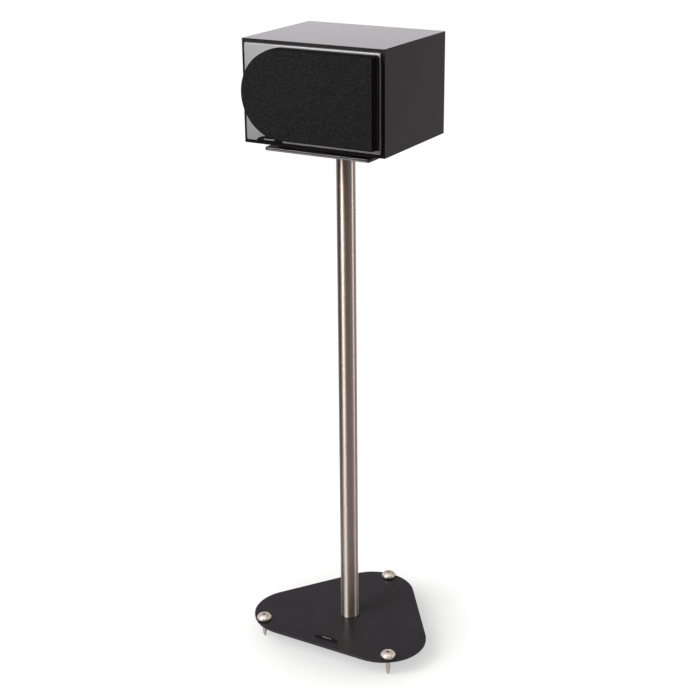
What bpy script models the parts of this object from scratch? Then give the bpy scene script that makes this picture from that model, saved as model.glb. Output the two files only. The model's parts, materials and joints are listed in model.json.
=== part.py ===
"""Compact two-way speaker fixed on its own floor stand.

Metres, +Z up, front face towards -Y. The origin is on the floor, in the middle of the footprint.
"""
import math

import bmesh
import bpy
from mathutils import Matrix

MM = 0.001
GAP = 0.3 * MM                  # between pieces that touch
CLEARANCE = 0.6 * MM            # around a piece that is let into an opening
CUT_MARGIN = 1 * MM             # how far a cutting tool reaches past a face

# Cabinet
CABINET_WIDTH = 200 * MM
CABINET_DEPTH = 160 * MM
CABINET_HEIGHT = 130 * MM
WALL = 12 * MM
BAFFLE_THICKNESS = 15 * MM
REAR_PANEL_THICKNESS = 12 * MM
PANEL_WIDTH = CABINET_WIDTH - 2 * WALL - 2 * GAP
PANEL_HEIGHT = CABINET_HEIGHT - 2 * WALL - 2 * GAP

# Fascia and grille
FASCIA_WIDTH = 192 * MM
FASCIA_HEIGHT = 122 * MM
FASCIA_THICKNESS = 3 * MM
FASCIA_CORNER = 2 * MM
GRILLE_DEPTH = 15 * MM
GRILLE_RADIUS = 56.8 * MM
GRILLE_HALF_WIDTH = 93.7 * MM
GRILLE_CORNER = 3.5 * MM
GRILLE_RIM_DEPTH = 6 * MM
GRILLE_HEIGHT = 66.5 * MM
PEG_RADIUS = 2.5 * MM
PEG_LENGTH = 8 * MM
PEG_HOLE_RADIUS = 2.9 * MM
PEG_COLUMNS = (8 * MM, 84 * MM)
PEG_ROW = 47.4 * MM
FASCIA_PLAQUE_WIDTH = 37.6 * MM
FASCIA_PLAQUE_HEIGHT = 7.2 * MM
FASCIA_PLAQUE_THICKNESS = 1.2 * MM
FASCIA_PLAQUE_X = -61 * MM
FASCIA_PLAQUE_Z = 5 * MM

# Drivers
WOOFER_X = GRILLE_RADIUS - GRILLE_HALF_WIDTH
WOOFER_FLANGE_RADIUS = 52 * MM
WOOFER_CUTOUT_RADIUS = 46.2 * MM
WOOFER_SCREW_CIRCLE = 48.9 * MM
TWEETER_X = 56 * MM
TWEETER_WIDTH = 62 * MM
TWEETER_HEIGHT = 86 * MM
TWEETER_HOUSING_WIDTH = 50 * MM
TWEETER_HOUSING_HEIGHT = 72 * MM
TWEETER_SCREW_ROW = 40.3 * MM
SCREW_SHANK_RADIUS = 1.45 * MM
SCREW_HOLE_RADIUS = 1.9 * MM

# Rear panel fittings
PORT_X = 45 * MM
PORT_Z = 85 * MM
PORT_RADIUS = 15 * MM
PORT_WALL = 2.6 * MM
PORT_FLANGE_RADIUS = 24 * MM
PORT_FLANGE_THICKNESS = 2.3 * MM
PORT_LENGTH = 70 * MM
TERMINAL_X = -40 * MM
TERMINAL_Z = 55 * MM
TERMINAL_WIDTH = 70 * MM
TERMINAL_HEIGHT = 48 * MM
TERMINAL_OVERLAP = 7 * MM
POST_SPACING = 19 * MM
POST_RADIUS = 2.5 * MM
POST_HOLE_RADIUS = 2.8 * MM
WASHER_THICKNESS = 2 * MM
WASHER_RADIUS = 6 * MM
WASHER_START = 3.1 * MM
CAP_LENGTH = 14 * MM
CAP_RADIUS = 6.8 * MM

# Stand
FLOOR_CLEARANCE = 25 * MM
BASE_THICKNESS = 3 * MM
BASE_CORNER_RADIUS = 60.5 * MM
BASE_FRONT_CORNER_X = 71.5 * MM
BASE_FRONT_CORNER_Y = -31.5 * MM
BASE_REAR_CORNER_Y = 69.5 * MM
PILLAR_RADIUS = 12.5 * MM
PILLAR_WALL = 1.5 * MM
PILLAR_LENGTH = 691 * MM
TOP_PLATE_SIDE = 150 * MM
TOP_PLATE_THICKNESS = 4 * MM
TOP_PLATE_CORNER = 4 * MM
PAD_RADIUS = 10 * MM
PAD_HEIGHT = 5 * MM
PAD_OFFSET = 55 * MM
CABINET_BOLT_X = 40 * MM
BOLT_RADIUS = 4 * MM
BOLT_HOLE_RADIUS = 4.3 * MM
CABINET_BOLT_RADIUS = 2.4 * MM
CABINET_BOLT_HOLE_RADIUS = 2.7 * MM
CABINET_BOLT_HOLE_DEPTH = 10 * MM
BASE_PLAQUE_WIDTH = 36 * MM
BASE_PLAQUE_HEIGHT = 7 * MM
BASE_PLAQUE_THICKNESS = 1.4 * MM
BASE_PLAQUE_X = 4 * MM
BASE_PLAQUE_Y = -76 * MM
SPIKE_RADIUS = 3 * MM
SPIKE_HOLE_RADIUS = 3.3 * MM
SPIKE_OFFSETS = {
    "left": (-101 * MM, -72 * MM),
    "right": (101 * MM, -72 * MM),
    "rear": (0.0, 120 * MM),
}

# Heights above the floor
BASE_BOTTOM = FLOOR_CLEARANCE
BASE_TOP = BASE_BOTTOM + BASE_THICKNESS
TOP_PLATE_BOTTOM = BASE_TOP + PILLAR_LENGTH
TOP_PLATE_TOP = TOP_PLATE_BOTTOM + TOP_PLATE_THICKNESS
CABINET_BOTTOM = TOP_PLATE_TOP + PAD_HEIGHT

# The pillar stands under the middle of the cabinet's depth, and the footprint's middle is the origin
GRILLE_REACH = CABINET_DEPTH / 2 + FASCIA_THICKNESS + GRILLE_DEPTH
BASE_REACH = BASE_REAR_CORNER_Y + BASE_CORNER_RADIUS
PILLAR_Y = (GRILLE_REACH - BASE_REACH) / 2
CABINET_FRONT_Y = PILLAR_Y - CABINET_DEPTH / 2

# Turns a shape whose +Z is its front to face the front, the rear or the floor
FACE_FRONT = (math.radians(90), 0, 0)
FACE_REAR = (math.radians(-90), 0, 0)
FACE_DOWN = (math.radians(180), 0, 0)
UPRIGHT = (0, 0, 0)

ROUND_STEPS = 24
SMALL_ROUND_STEPS = 12
WELD_DISTANCE = 0.000001
BLACK = (0.012, 0.012, 0.013)


# ---------------------------------------------------------------- scene and helpers

def clear_scene():
    """Remove every object that the file opened with."""
    for item in list(bpy.data.objects):
        bpy.data.objects.remove(item, do_unlink=True)


def new_collection(name):
    collection = bpy.data.collections.new(name)
    bpy.context.scene.collection.children.link(collection)
    return collection


clear_scene()
PARTS = new_collection("speaker_on_stand")
CUTTERS = new_collection("cutters")


def make_material(name, colour, roughness, metallic=0.0):
    """A Principled material with one colour, roughness and metallic value."""
    material = bpy.data.materials.new(name)
    material.use_nodes = True
    shader = material.node_tree.nodes["Principled BSDF"]
    shader.inputs["Base Color"].default_value = (*colour, 1.0)
    shader.inputs["Roughness"].default_value = roughness
    shader.inputs["Metallic"].default_value = metallic
    return material


def in_mm(*points):
    """Points given in millimetres, as metres."""
    return [(a * MM, b * MM) for a, b in points]


def at(x, y, z):
    """A place on the speaker: x from its middle, y behind the cabinet's front, z above its bottom."""
    return (x, CABINET_FRONT_Y + y, CABINET_BOTTOM + z)


def on_stand(x, y, z):
    """A place on the stand: x and y from the pillar's axis, z above the floor."""
    return (x, PILLAR_Y + y, z)


def add_object(name, mesh, material, location, rotation=UPRIGHT):
    item = bpy.data.objects.new(name, mesh)
    item.location = location
    item.rotation_euler = rotation
    if material:
        mesh.materials.append(material)
    PARTS.objects.link(item)
    return item


def make_cutter(item):
    """Keep an object only as a tool that cuts or joins another."""
    PARTS.objects.unlink(item)
    CUTTERS.objects.link(item)
    item.hide_render = True
    item.display_type = "WIRE"
    return item


def combine(item, tool, operation):
    """Cut an object by a tool (DIFFERENCE), or join the tool to it (UNION)."""
    make_cutter(tool)
    boolean = item.modifiers.new(tool.name, "BOOLEAN")
    boolean.operation = operation
    boolean.solver = "EXACT"
    boolean.object = tool


def box(name, size, centre, material=None):
    mesh = bpy.data.meshes.new(name)
    shape = bmesh.new()
    bmesh.ops.create_cube(shape, size=1.0, matrix=Matrix.Diagonal((*size, 1.0)))
    shape.to_mesh(mesh)
    shape.free()
    return add_object(name, mesh, material, centre)


def cylinder(name, radius, height, location, material=None, rotation=UPRIGHT, steps=SMALL_ROUND_STEPS):
    """A cylinder that stands on its location."""
    mesh = bpy.data.meshes.new(name)
    shape = bmesh.new()
    bmesh.ops.create_cone(
        shape, cap_ends=True, segments=steps, radius1=radius, radius2=radius, depth=height,
        matrix=Matrix.Translation((0, 0, height / 2)))
    shape.to_mesh(mesh)
    shape.free()
    mesh.shade_smooth()
    mesh.set_sharp_from_angle(angle=math.radians(40))
    return add_object(name, mesh, material, location, rotation)


def turned(name, profile, material, location, rotation=UPRIGHT, steps=ROUND_STEPS, ring=False):
    """A profile of (radius, height) points turned about its own Z.

    It runs down the outer side. A ring's profile comes back to its first point.
    """
    mesh = bpy.data.meshes.new(name)
    edges = [(i, i + 1) for i in range(len(profile) - 1)]
    if ring:
        edges.append((len(profile) - 1, 0))
    mesh.from_pydata([(radius, 0, height) for radius, height in profile], edges, [])
    item = add_object(name, mesh, material, location, rotation)
    screw = item.modifiers.new("Turn", "SCREW")
    screw.axis = "Z"
    screw.steps = steps
    screw.render_steps = steps
    screw.use_merge_vertices = True
    screw.merge_threshold = WELD_DISTANCE
    return item


def plate(name, outlines, thickness, material, location, rotation=UPRIGHT):
    """A flat outline, with its holes as further outlines, as thick as stated above its location."""
    curve = bpy.data.curves.new(name, "CURVE")
    curve.dimensions = "2D"
    curve.fill_mode = "BOTH"
    curve.extrude = thickness / 2
    for outline in outlines:
        spline = curve.splines.new("POLY")
        spline.points.add(len(outline) - 1)
        spline.use_cyclic_u = True
        for point, (x, y) in zip(spline.points, outline):
            point.co = (x, y, 0, 1)
    flat = bpy.data.objects.new(name + "_outline", curve)
    PARTS.objects.link(flat)
    graph = bpy.context.evaluated_depsgraph_get()
    mesh = bpy.data.meshes.new_from_object(flat.evaluated_get(graph))
    bpy.data.objects.remove(flat, do_unlink=True)
    shape = bmesh.new()
    shape.from_mesh(mesh)
    bmesh.ops.remove_doubles(shape, verts=shape.verts, dist=WELD_DISTANCE)
    bmesh.ops.translate(shape, verts=shape.verts, vec=(0, 0, thickness / 2))
    shape.to_mesh(mesh)
    shape.free()
    return add_object(name, mesh, material, location, rotation)


def arc(centre_x, centre_y, radius, start, end, steps):
    """Points on an arc, from one angle in degrees to another."""
    angles = [math.radians(start + (end - start) * i / steps) for i in range(steps + 1)]
    return [(centre_x + radius * math.cos(a), centre_y + radius * math.sin(a)) for a in angles]


def circle(radius, centre_x=0.0, centre_y=0.0, steps=SMALL_ROUND_STEPS):
    return arc(centre_x, centre_y, radius, 0, 360, steps)[:-1]


def rounded_rectangle(width, height, radius, centre_x=0.0, centre_y=0.0, steps=2):
    right = width / 2 - radius
    top = height / 2 - radius
    points = []
    for sign_x, sign_y, start in ((1, 1, 0), (-1, 1, 90), (-1, -1, 180), (1, -1, 270)):
        points += arc(centre_x + sign_x * right, centre_y + sign_y * top, radius, start, start + 90, steps)
    return points


def rectangle(width, height, centre_x=0.0, centre_y=0.0):
    right = width / 2
    top = height / 2
    corners = ((-right, -top), (right, -top), (right, top), (-right, top))
    return [(centre_x + x, centre_y + y) for x, y in corners]


def low_arch(width, height, steps=14):
    """Half an ellipse standing on its flat side."""
    angles = [math.pi * i / steps for i in range(steps + 1)]
    return [(width / 2 * math.cos(a), height * math.sin(a)) for a in angles]


def loft(name, loops, material, location, rotation=UPRIGHT):
    """Join loops of equally many points side by side, and close the first and the last."""
    mesh = bpy.data.meshes.new(name)
    shape = bmesh.new()
    rows = [[shape.verts.new(point) for point in loop] for loop in loops]
    count = len(rows[0])
    for near, far in zip(rows, rows[1:]):
        for i in range(count):
            j = (i + 1) % count
            shape.faces.new((near[i], near[j], far[j], far[i]))
    shape.faces.new(rows[0])
    shape.faces.new(rows[-1])
    bmesh.ops.recalc_face_normals(shape, faces=shape.faces)
    shape.to_mesh(mesh)
    shape.free()
    return add_object(name, mesh, material, location, rotation)


# ---------------------------------------------------------------- materials

PAINTED_BLACK = make_material("painted_black", BLACK, 0.35)
FASCIA_SILVER = make_material("fascia_silver", (0.45, 0.45, 0.46), 0.18, 0.6)
BARE_BOARD = make_material("bare_board", (0.35, 0.24, 0.15), 0.8)
BLACK_PLASTIC = make_material("black_plastic", BLACK, 0.5)
GRILLE_CLOTH = make_material("grille_cloth", (0.02, 0.02, 0.021), 0.95)
STEEL = make_material("steel", (0.55, 0.55, 0.56), 0.3, 1.0)
ZINC = make_material("zinc_plated", (0.6, 0.6, 0.62), 0.35, 1.0)
BRUSHED_STEEL = make_material("brushed_steel", (0.52, 0.47, 0.42), 0.3, 1.0)
NICKEL = make_material("nickel", (0.62, 0.57, 0.5), 0.22, 1.0)
BLACK_STEEL = make_material("black_steel", BLACK, 0.45)
RUBBER = make_material("rubber", (0.015, 0.015, 0.015), 0.8)
PAPER_CONE = make_material("paper_cone", (0.03, 0.03, 0.032), 0.7)
SPIDER_CLOTH = make_material("spider_cloth", (0.6, 0.42, 0.12), 0.9)
COPPER = make_material("copper", (0.72, 0.3, 0.12), 0.35, 1.0)
FERRITE = make_material("ferrite", (0.04, 0.04, 0.042), 0.6)
FILM = make_material("film", (0.75, 0.75, 0.76), 0.25, 0.8)
BRASS = make_material("brass", (0.78, 0.56, 0.22), 0.25, 1.0)
RED_PLASTIC = make_material("red_plastic", (0.5, 0.01, 0.01), 0.4)
CIRCUIT_BOARD = make_material("circuit_board", (0.02, 0.12, 0.05), 0.5)
CERAMIC = make_material("ceramic", (0.7, 0.68, 0.62), 0.6)
WADDING = make_material("wadding", (0.8, 0.8, 0.78), 1.0)
PLAQUE = make_material("plaque", (0.01, 0.01, 0.011), 0.25)


# ---------------------------------------------------------------- cabinet

def screw_places():
    """The woofer's four screws, from the woofer's axis."""
    return arc(0, 0, WOOFER_SCREW_CIRCLE, 45, 315, 3)


def peg_holes():
    """The grille's four peg holes, from the cabinet's middle and the grille's height."""
    return [circle(PEG_HOLE_RADIUS, x, side * PEG_ROW) for x in PEG_COLUMNS for side in (-1, 1)]


def build_cabinet():
    outlines = [
        rectangle(CABINET_WIDTH, CABINET_HEIGHT),
        rectangle(CABINET_WIDTH - 2 * WALL, CABINET_HEIGHT - 2 * WALL),
    ]
    cabinet = plate("cabinet_shell", outlines, CABINET_DEPTH, PAINTED_BLACK,
                    at(0, CABINET_DEPTH, CABINET_HEIGHT / 2), FACE_FRONT)
    for side in (-1, 1):
        hole = cylinder("cabinet_bolt_hole", CABINET_BOLT_HOLE_RADIUS, CABINET_BOLT_HOLE_DEPTH + CUT_MARGIN,
                        at(side * CABINET_BOLT_X, CABINET_DEPTH / 2, -CUT_MARGIN))
        combine(cabinet, hole, "DIFFERENCE")


def build_rear_panel():
    middle = CABINET_HEIGHT / 2
    outlines = [
        rectangle(PANEL_WIDTH, PANEL_HEIGHT),
        circle(PORT_RADIUS + PORT_WALL + 0.4 * MM, PORT_X, PORT_Z - middle, ROUND_STEPS),
        rectangle(TERMINAL_WIDTH - 2 * TERMINAL_OVERLAP, TERMINAL_HEIGHT - 2 * TERMINAL_OVERLAP,
                  TERMINAL_X, TERMINAL_Z - middle),
    ]
    plate("rear_panel", outlines, REAR_PANEL_THICKNESS, PAINTED_BLACK,
          at(0, CABINET_DEPTH, middle), FACE_FRONT)


def build_front_baffle():
    """The board that the drivers are screwed to, inside the cabinet's front edge."""
    rise = GRILLE_HEIGHT - CABINET_HEIGHT / 2
    outlines = [
        rectangle(PANEL_WIDTH, PANEL_HEIGHT, 0, -rise),
        circle(WOOFER_CUTOUT_RADIUS, WOOFER_X, 0, ROUND_STEPS),
        rectangle(TWEETER_HOUSING_WIDTH + 2 * CLEARANCE, TWEETER_HOUSING_HEIGHT + 2 * CLEARANCE, TWEETER_X),
    ]
    outlines += peg_holes()
    outlines += [circle(SCREW_HOLE_RADIUS, WOOFER_X + x, y, 8) for x, y in screw_places()]
    outlines += [circle(SCREW_HOLE_RADIUS, TWEETER_X, side * TWEETER_SCREW_ROW, 8) for side in (-1, 1)]
    plate("front_baffle", outlines, BAFFLE_THICKNESS, BARE_BOARD,
          at(0, BAFFLE_THICKNESS, GRILLE_HEIGHT), FACE_FRONT)


def build_fascia_panel():
    rise = GRILLE_HEIGHT - CABINET_HEIGHT / 2
    outlines = [
        rounded_rectangle(FASCIA_WIDTH, FASCIA_HEIGHT, FASCIA_CORNER, 0, -rise),
        circle(WOOFER_FLANGE_RADIUS + CLEARANCE, WOOFER_X, 0, ROUND_STEPS),
        rectangle(TWEETER_WIDTH + 2 * CLEARANCE, TWEETER_HEIGHT + 2 * CLEARANCE, TWEETER_X),
    ]
    outlines += peg_holes()
    plate("fascia_panel", outlines, FASCIA_THICKNESS - GAP, FASCIA_SILVER,
          at(0, -GAP, GRILLE_HEIGHT), FACE_FRONT)


def build_fascia_plaque():
    plate("fascia_plaque", [low_arch(FASCIA_PLAQUE_WIDTH, FASCIA_PLAQUE_HEIGHT)], FASCIA_PLAQUE_THICKNESS,
          PLAQUE, at(FASCIA_PLAQUE_X, -FASCIA_THICKNESS - GAP, FASCIA_PLAQUE_Z), FACE_FRONT)


# ---------------------------------------------------------------- grille

def grille_outline(inset):
    """The grille's outline, half round on the left and square on the right, drawn in by the inset."""
    radius = GRILLE_RADIUS - inset
    right = GRILLE_HALF_WIDTH - inset
    corner = max(GRILLE_CORNER - inset, 0.6 * MM)
    points = arc(right - corner, corner - radius, corner, -90, 0, 2)
    points += arc(right - corner, radius - corner, corner, 0, 90, 2)
    points += arc(WOOFER_X, 0, radius, 90, 270, ROUND_STEPS)
    return points


def build_grille_frame():
    """A moulded rim, a thinner wall inside the cloth, a divider, two ribs and four pegs."""
    def forward(distance):
        return at(0, -FASCIA_THICKNESS - distance, GRILLE_HEIGHT)

    rim_inset = 0.2 * MM
    rim_width = 4.6 * MM
    wall_inset = 3.2 * MM
    wall_width = 1.9 * MM
    wall_start = 5 * MM
    wall_depth = 8.4 * MM
    frame = plate("grille_frame", [grille_outline(rim_inset), grille_outline(rim_inset + rim_width)],
                  GRILLE_RIM_DEPTH - GAP, BLACK_PLASTIC, forward(GAP), FACE_FRONT)
    wall = plate("grille_wall", [grille_outline(wall_inset), grille_outline(wall_inset + wall_width)],
                 wall_depth, None, forward(wall_start), FACE_FRONT)
    combine(frame, wall, "UNION")
    bar_inset = 4.5 * MM
    tall = 2 * (GRILLE_RADIUS - bar_inset)
    wide = 2 * (GRILLE_HALF_WIDTH - bar_inset)
    bars = (
        ("grille_divider", 20 * MM, (6 * MM, 10 * MM, tall), 8 * MM),
        ("grille_upright_rib", WOOFER_X, (3 * MM, 2.2 * MM, tall), 12 * MM),
        ("grille_level_rib", 0.0, (wide, 1.6 * MM, 3 * MM), 11.9 * MM),
    )
    for name, x, size, distance in bars:
        bar = box(name, size, forward(distance))
        bar.location.x = x
        combine(frame, bar, "UNION")
    boss_radius = 7 * MM
    boss_start = 0.5 * MM
    boss_height = 3.6 * MM
    peg_root = 3 * MM
    for x in PEG_COLUMNS:
        for side in (-1, 1):
            height = GRILLE_HEIGHT + side * PEG_ROW
            peg = cylinder("grille_peg", PEG_RADIUS, PEG_LENGTH + peg_root,
                           at(x, -FASCIA_THICKNESS + PEG_LENGTH, height), None, FACE_FRONT)
            combine(frame, peg, "UNION")
            boss = cylinder("grille_boss", boss_radius, boss_height,
                            at(x, -FASCIA_THICKNESS - boss_start, height), None, FACE_FRONT)
            combine(frame, boss, "UNION")


def build_grille_cloth():
    """Cloth over the front and sides of the frame, a little smaller at the front than at the rim."""
    inside = in_mm((14.0, 4.2), (13.8, 2.9), (6.2, 1.5))
    outside = in_mm((6.2, 0.4), (12.0, 1.1), (13.8, 1.9), (14.7, 3.0), (15.0, 4.4))
    loops = []
    for forward, inset in inside + outside:
        loops.append([(x, y, forward) for x, y in grille_outline(inset)])
    loft("grille_cloth", loops, GRILLE_CLOTH, at(0, -FASCIA_THICKNESS, GRILLE_HEIGHT), FACE_FRONT)


# ---------------------------------------------------------------- mid-bass driver

def on_woofer():
    """The woofer's origin: its axis, at the fascia's front face."""
    return at(WOOFER_X, -FASCIA_THICKNESS, GRILLE_HEIGHT)


def build_woofer_basket():
    profile = in_mm(
        (52, -0.3), (52, -1.8), (45.2, -1.8), (44.2, -10), (33.8, -28), (31, -31.5), (31, -36),
        (14.5, -36), (14.5, -34.5), (29, -34.5), (29, -28), (32.2, -28), (42.6, -9.8), (43.6, -1.2),
        (43.6, -0.3))
    basket = turned("woofer_basket", profile, BLACK_STEEL, on_woofer(), FACE_FRONT, ring=True)
    window_height = 15 * MM
    window_width = 22 * MM
    window_depth = 19 * MM
    through = 100 * MM
    for size in ((through, window_height, window_width), (window_width, window_height, through)):
        window = box("basket_window", size, on_woofer())
        window.location.y += window_depth
        combine(basket, window, "DIFFERENCE")
    hole_length = 5 * MM
    for x, y in screw_places():
        hole = cylinder("basket_screw_hole", SCREW_HOLE_RADIUS, hole_length,
                        at(WOOFER_X + x, 0, GRILLE_HEIGHT + y), None, FACE_FRONT, 8)
        combine(basket, hole, "DIFFERENCE")


def build_woofer_gasket():
    outer_radius = 51.8 * MM
    inner_radius = 46.4 * MM
    thickness = 0.6 * MM
    outlines = [circle(outer_radius, steps=ROUND_STEPS), circle(inner_radius, steps=ROUND_STEPS)]
    outlines += [circle(SCREW_HOLE_RADIUS, x, y, 8) for x, y in screw_places()]
    plate("woofer_gasket", outlines, thickness, RUBBER, at(WOOFER_X, -GAP, GRILLE_HEIGHT), FACE_FRONT)


def build_woofer_surround():
    """A half-round roll between the cone's edge and the basket's flange."""
    roll_radius = 40.7 * MM
    middle = 0.3 * MM
    half_thickness = 0.3 * MM
    inner = arc(roll_radius, middle, 3.1 * MM, 0, 180, 4)
    outer = arc(roll_radius, middle, 3.7 * MM, 180, 0, 4)
    foot_top = middle + half_thickness
    foot_bottom = middle - half_thickness
    profile = [(46.3 * MM, foot_top), (46.3 * MM, foot_bottom), (44.3 * MM, foot_bottom)]
    profile += inner[:-1]
    profile += [(37.5 * MM, foot_bottom), (37.1 * MM, foot_bottom), (37.1 * MM, foot_top)]
    profile += outer[1:-1]
    profile += [(44.5 * MM, foot_top)]
    turned("woofer_surround", profile, RUBBER, on_woofer(), FACE_FRONT, ring=True)


def build_woofer_cone():
    profile = in_mm((36.8, 0.6), (36.8, -0.2), (24.5, -8.6), (12.7, -16.2), (12.7, -15.2), (24.5, -7.6))
    turned("woofer_cone", profile, PAPER_CONE, on_woofer(), FACE_FRONT, ring=True)


def build_woofer_dust_cap():
    """A shallow dome, 0.6 mm thick, over the cone's neck."""
    dome_radius = 23.3 * MM
    dome_top = -8.0 * MM
    thickness = 0.6 * MM
    rim_angle = 50.6
    centre = dome_top - dome_radius
    outer = arc(0, centre, dome_radius, 90, rim_angle, 3)
    inner = arc(0, centre, dome_radius - thickness, rim_angle, 90, 3)
    profile = [(0.0, outer[0][1])] + outer[1:] + inner[:-1] + [(0.0, inner[-1][1])]
    turned("woofer_dust_cap", profile, PAPER_CONE, on_woofer(), FACE_FRONT)


def build_woofer_voice_coil():
    """The coil wound on the lower end of its former."""
    profile = in_mm((12.4, -14.6), (12.4, -34.6), (13.1, -34.6), (13.1, -42), (12, -42), (12, -14.6))
    turned("woofer_voice_coil", profile, COPPER, on_woofer(), FACE_FRONT, ring=True)


def build_woofer_spider():
    """A corrugated cloth disc that centres the voice coil."""
    half_thickness = 0.25 * MM
    middle = -27.4 * MM
    inner_radius = 14 * MM
    outer_radius = 29 * MM
    waves = 2
    steps = 8
    crest = []
    for i in range(steps + 1):
        share = i / steps
        radius = outer_radius + (inner_radius - outer_radius) * share
        crest.append((radius, middle + 1.0 * MM * math.sin(2 * math.pi * waves * share)))
    line = [(31.6 * MM, middle)] + crest + [(12.7 * MM, middle)]
    under = [(radius, height - half_thickness) for radius, height in line]
    over = [(radius, height + half_thickness) for radius, height in reversed(line)]
    turned("woofer_spider", under + over, SPIDER_CLOTH, on_woofer(), FACE_FRONT, 20, ring=True)


def build_woofer_motor():
    """The front pole plate, the ring magnet and the back plate with its pole."""
    pole_plate = in_mm((30, -36.3), (30, -40.3), (13.8, -40.3), (13.8, -36.3))
    turned("woofer_pole_plate", pole_plate, ZINC, on_woofer(), FACE_FRONT, ring=True)
    magnet = in_mm((34, -40.6), (34, -52.6), (17, -52.6), (17, -40.6))
    turned("woofer_magnet", magnet, FERRITE, on_woofer(), FACE_FRONT, ring=True)
    pole = in_mm((0, -36.3), (11.4, -36.3), (11.4, -52.9), (32, -52.9), (32, -57), (0, -57))
    turned("woofer_back_pole", pole, ZINC, on_woofer(), FACE_FRONT)


def pan_screw(name, place, rotation):
    """A small pan-head wood screw whose head rests on its location."""
    profile = in_mm((0, 1.7), (1.5, 1.6), (2.3, 0.9), (2.4, 0))
    profile += [(SCREW_SHANK_RADIUS, 0.0), (SCREW_SHANK_RADIUS, -11 * MM), (0.0, -13 * MM)]
    turned(name, profile, STEEL, place, rotation, 8)


def build_woofer_screws():
    for number, (x, y) in enumerate(screw_places(), start=1):
        pan_screw(f"woofer_screw_{number}", at(WOOFER_X + x, -FASCIA_THICKNESS, GRILLE_HEIGHT + y), FACE_FRONT)


# ---------------------------------------------------------------- tweeter

def build_tweeter_faceplate():
    corner = 1.5 * MM
    slot_count = 5
    slot_pitch = 11 * MM
    slot_width = 36 * MM
    slot_height = 6 * MM
    outlines = [rounded_rectangle(TWEETER_WIDTH, TWEETER_HEIGHT, corner)]
    for number in range(slot_count):
        rise = (number - (slot_count - 1) / 2) * slot_pitch
        outlines.append(rounded_rectangle(slot_width, slot_height, corner, 0, rise))
    outlines += [circle(SCREW_HOLE_RADIUS, 0, side * TWEETER_SCREW_ROW, 8) for side in (-1, 1)]
    plate("tweeter_faceplate", outlines, FASCIA_THICKNESS - 2 * GAP, BLACK_PLASTIC,
          at(TWEETER_X, -GAP, GRILLE_HEIGHT), FACE_FRONT)


def build_tweeter_diaphragm():
    """A pleated film that stands upright behind the slots."""
    folds = 16
    width = 42 * MM
    height = 60 * MM
    pleat = 0.8 * MM
    thickness = 0.3 * MM
    front = []
    for i in range(folds + 1):
        side = 1 if i % 2 else -1
        front.append((-width / 2 + width * i / folds, side * pleat))
    back = [(x, y + thickness) for x, y in reversed(front)]
    plate("tweeter_diaphragm", [front + back], height, FILM,
          at(TWEETER_X, 2.5 * MM, GRILLE_HEIGHT - height / 2))


def build_tweeter_magnet():
    """A magnet plate with three upright slots for the air to move through."""
    slot_width = 5 * MM
    slot_height = 50 * MM
    slot_pitch = 12 * MM
    thickness = 5 * MM
    back = 10 * MM
    outlines = [rectangle(44 * MM, 64 * MM)]
    outlines += [rectangle(slot_width, slot_height, place * slot_pitch) for place in (-1, 0, 1)]
    plate("tweeter_magnet", outlines, thickness, FERRITE, at(TWEETER_X, back, GRILLE_HEIGHT), FACE_FRONT)


def build_tweeter_housing():
    """The closed chamber behind the diaphragm."""
    depth = 24 * MM
    floor = 2 * MM
    housing = box("tweeter_housing", (TWEETER_HOUSING_WIDTH, depth, TWEETER_HOUSING_HEIGHT),
                  at(TWEETER_X, depth / 2, GRILLE_HEIGHT), BLACK_PLASTIC)
    pocket = box("tweeter_pocket", (46 * MM, depth, 66 * MM),
                 at(TWEETER_X, depth / 2 - floor, GRILLE_HEIGHT))
    combine(housing, pocket, "DIFFERENCE")


def build_tweeter_screws():
    for name, side in (("upper", 1), ("lower", -1)):
        place = at(TWEETER_X, -FASCIA_THICKNESS, GRILLE_HEIGHT + side * TWEETER_SCREW_ROW)
        pan_screw(f"tweeter_screw_{name}", place, FACE_FRONT)


# ---------------------------------------------------------------- rear fittings and inside

def build_port_tube():
    """A flared tube with a thin flange on the rear panel."""
    outside = PORT_RADIUS + PORT_WALL
    flare = 4 * MM
    flare_start = -5 * MM
    profile = [
        (PORT_FLANGE_RADIUS, PORT_FLANGE_THICKNESS), (PORT_FLANGE_RADIUS, GAP), (outside, GAP),
        (outside, -PORT_LENGTH), (PORT_RADIUS, -PORT_LENGTH), (PORT_RADIUS, flare_start),
        (PORT_RADIUS + 0.3 * flare, 0.2 * flare_start), (PORT_RADIUS + flare, PORT_FLANGE_THICKNESS),
    ]
    turned("port_tube", profile, BLACK_PLASTIC, at(PORT_X, CABINET_DEPTH, PORT_Z), FACE_REAR, ring=True)


def build_terminal_plate():
    corner = 3 * MM
    thickness = 2.5 * MM
    outlines = [rounded_rectangle(TERMINAL_WIDTH, TERMINAL_HEIGHT, corner)]
    outlines += [circle(POST_HOLE_RADIUS, side * POST_SPACING / 2) for side in (-1, 1)]
    plate("terminal_plate", outlines, thickness, BLACK_PLASTIC,
          at(TERMINAL_X, CABINET_DEPTH + GAP, TERMINAL_Z), FACE_REAR)


def fluted_circle(radius, depth, flutes):
    """A circle with shallow grip flutes."""
    steps = flutes * 4
    points = []
    for i in range(steps):
        angle = 2 * math.pi * i / steps
        reach = radius - depth * (1 - math.cos(flutes * angle)) / 2
        points.append((reach * math.cos(angle), reach * math.sin(angle)))
    return points


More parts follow.
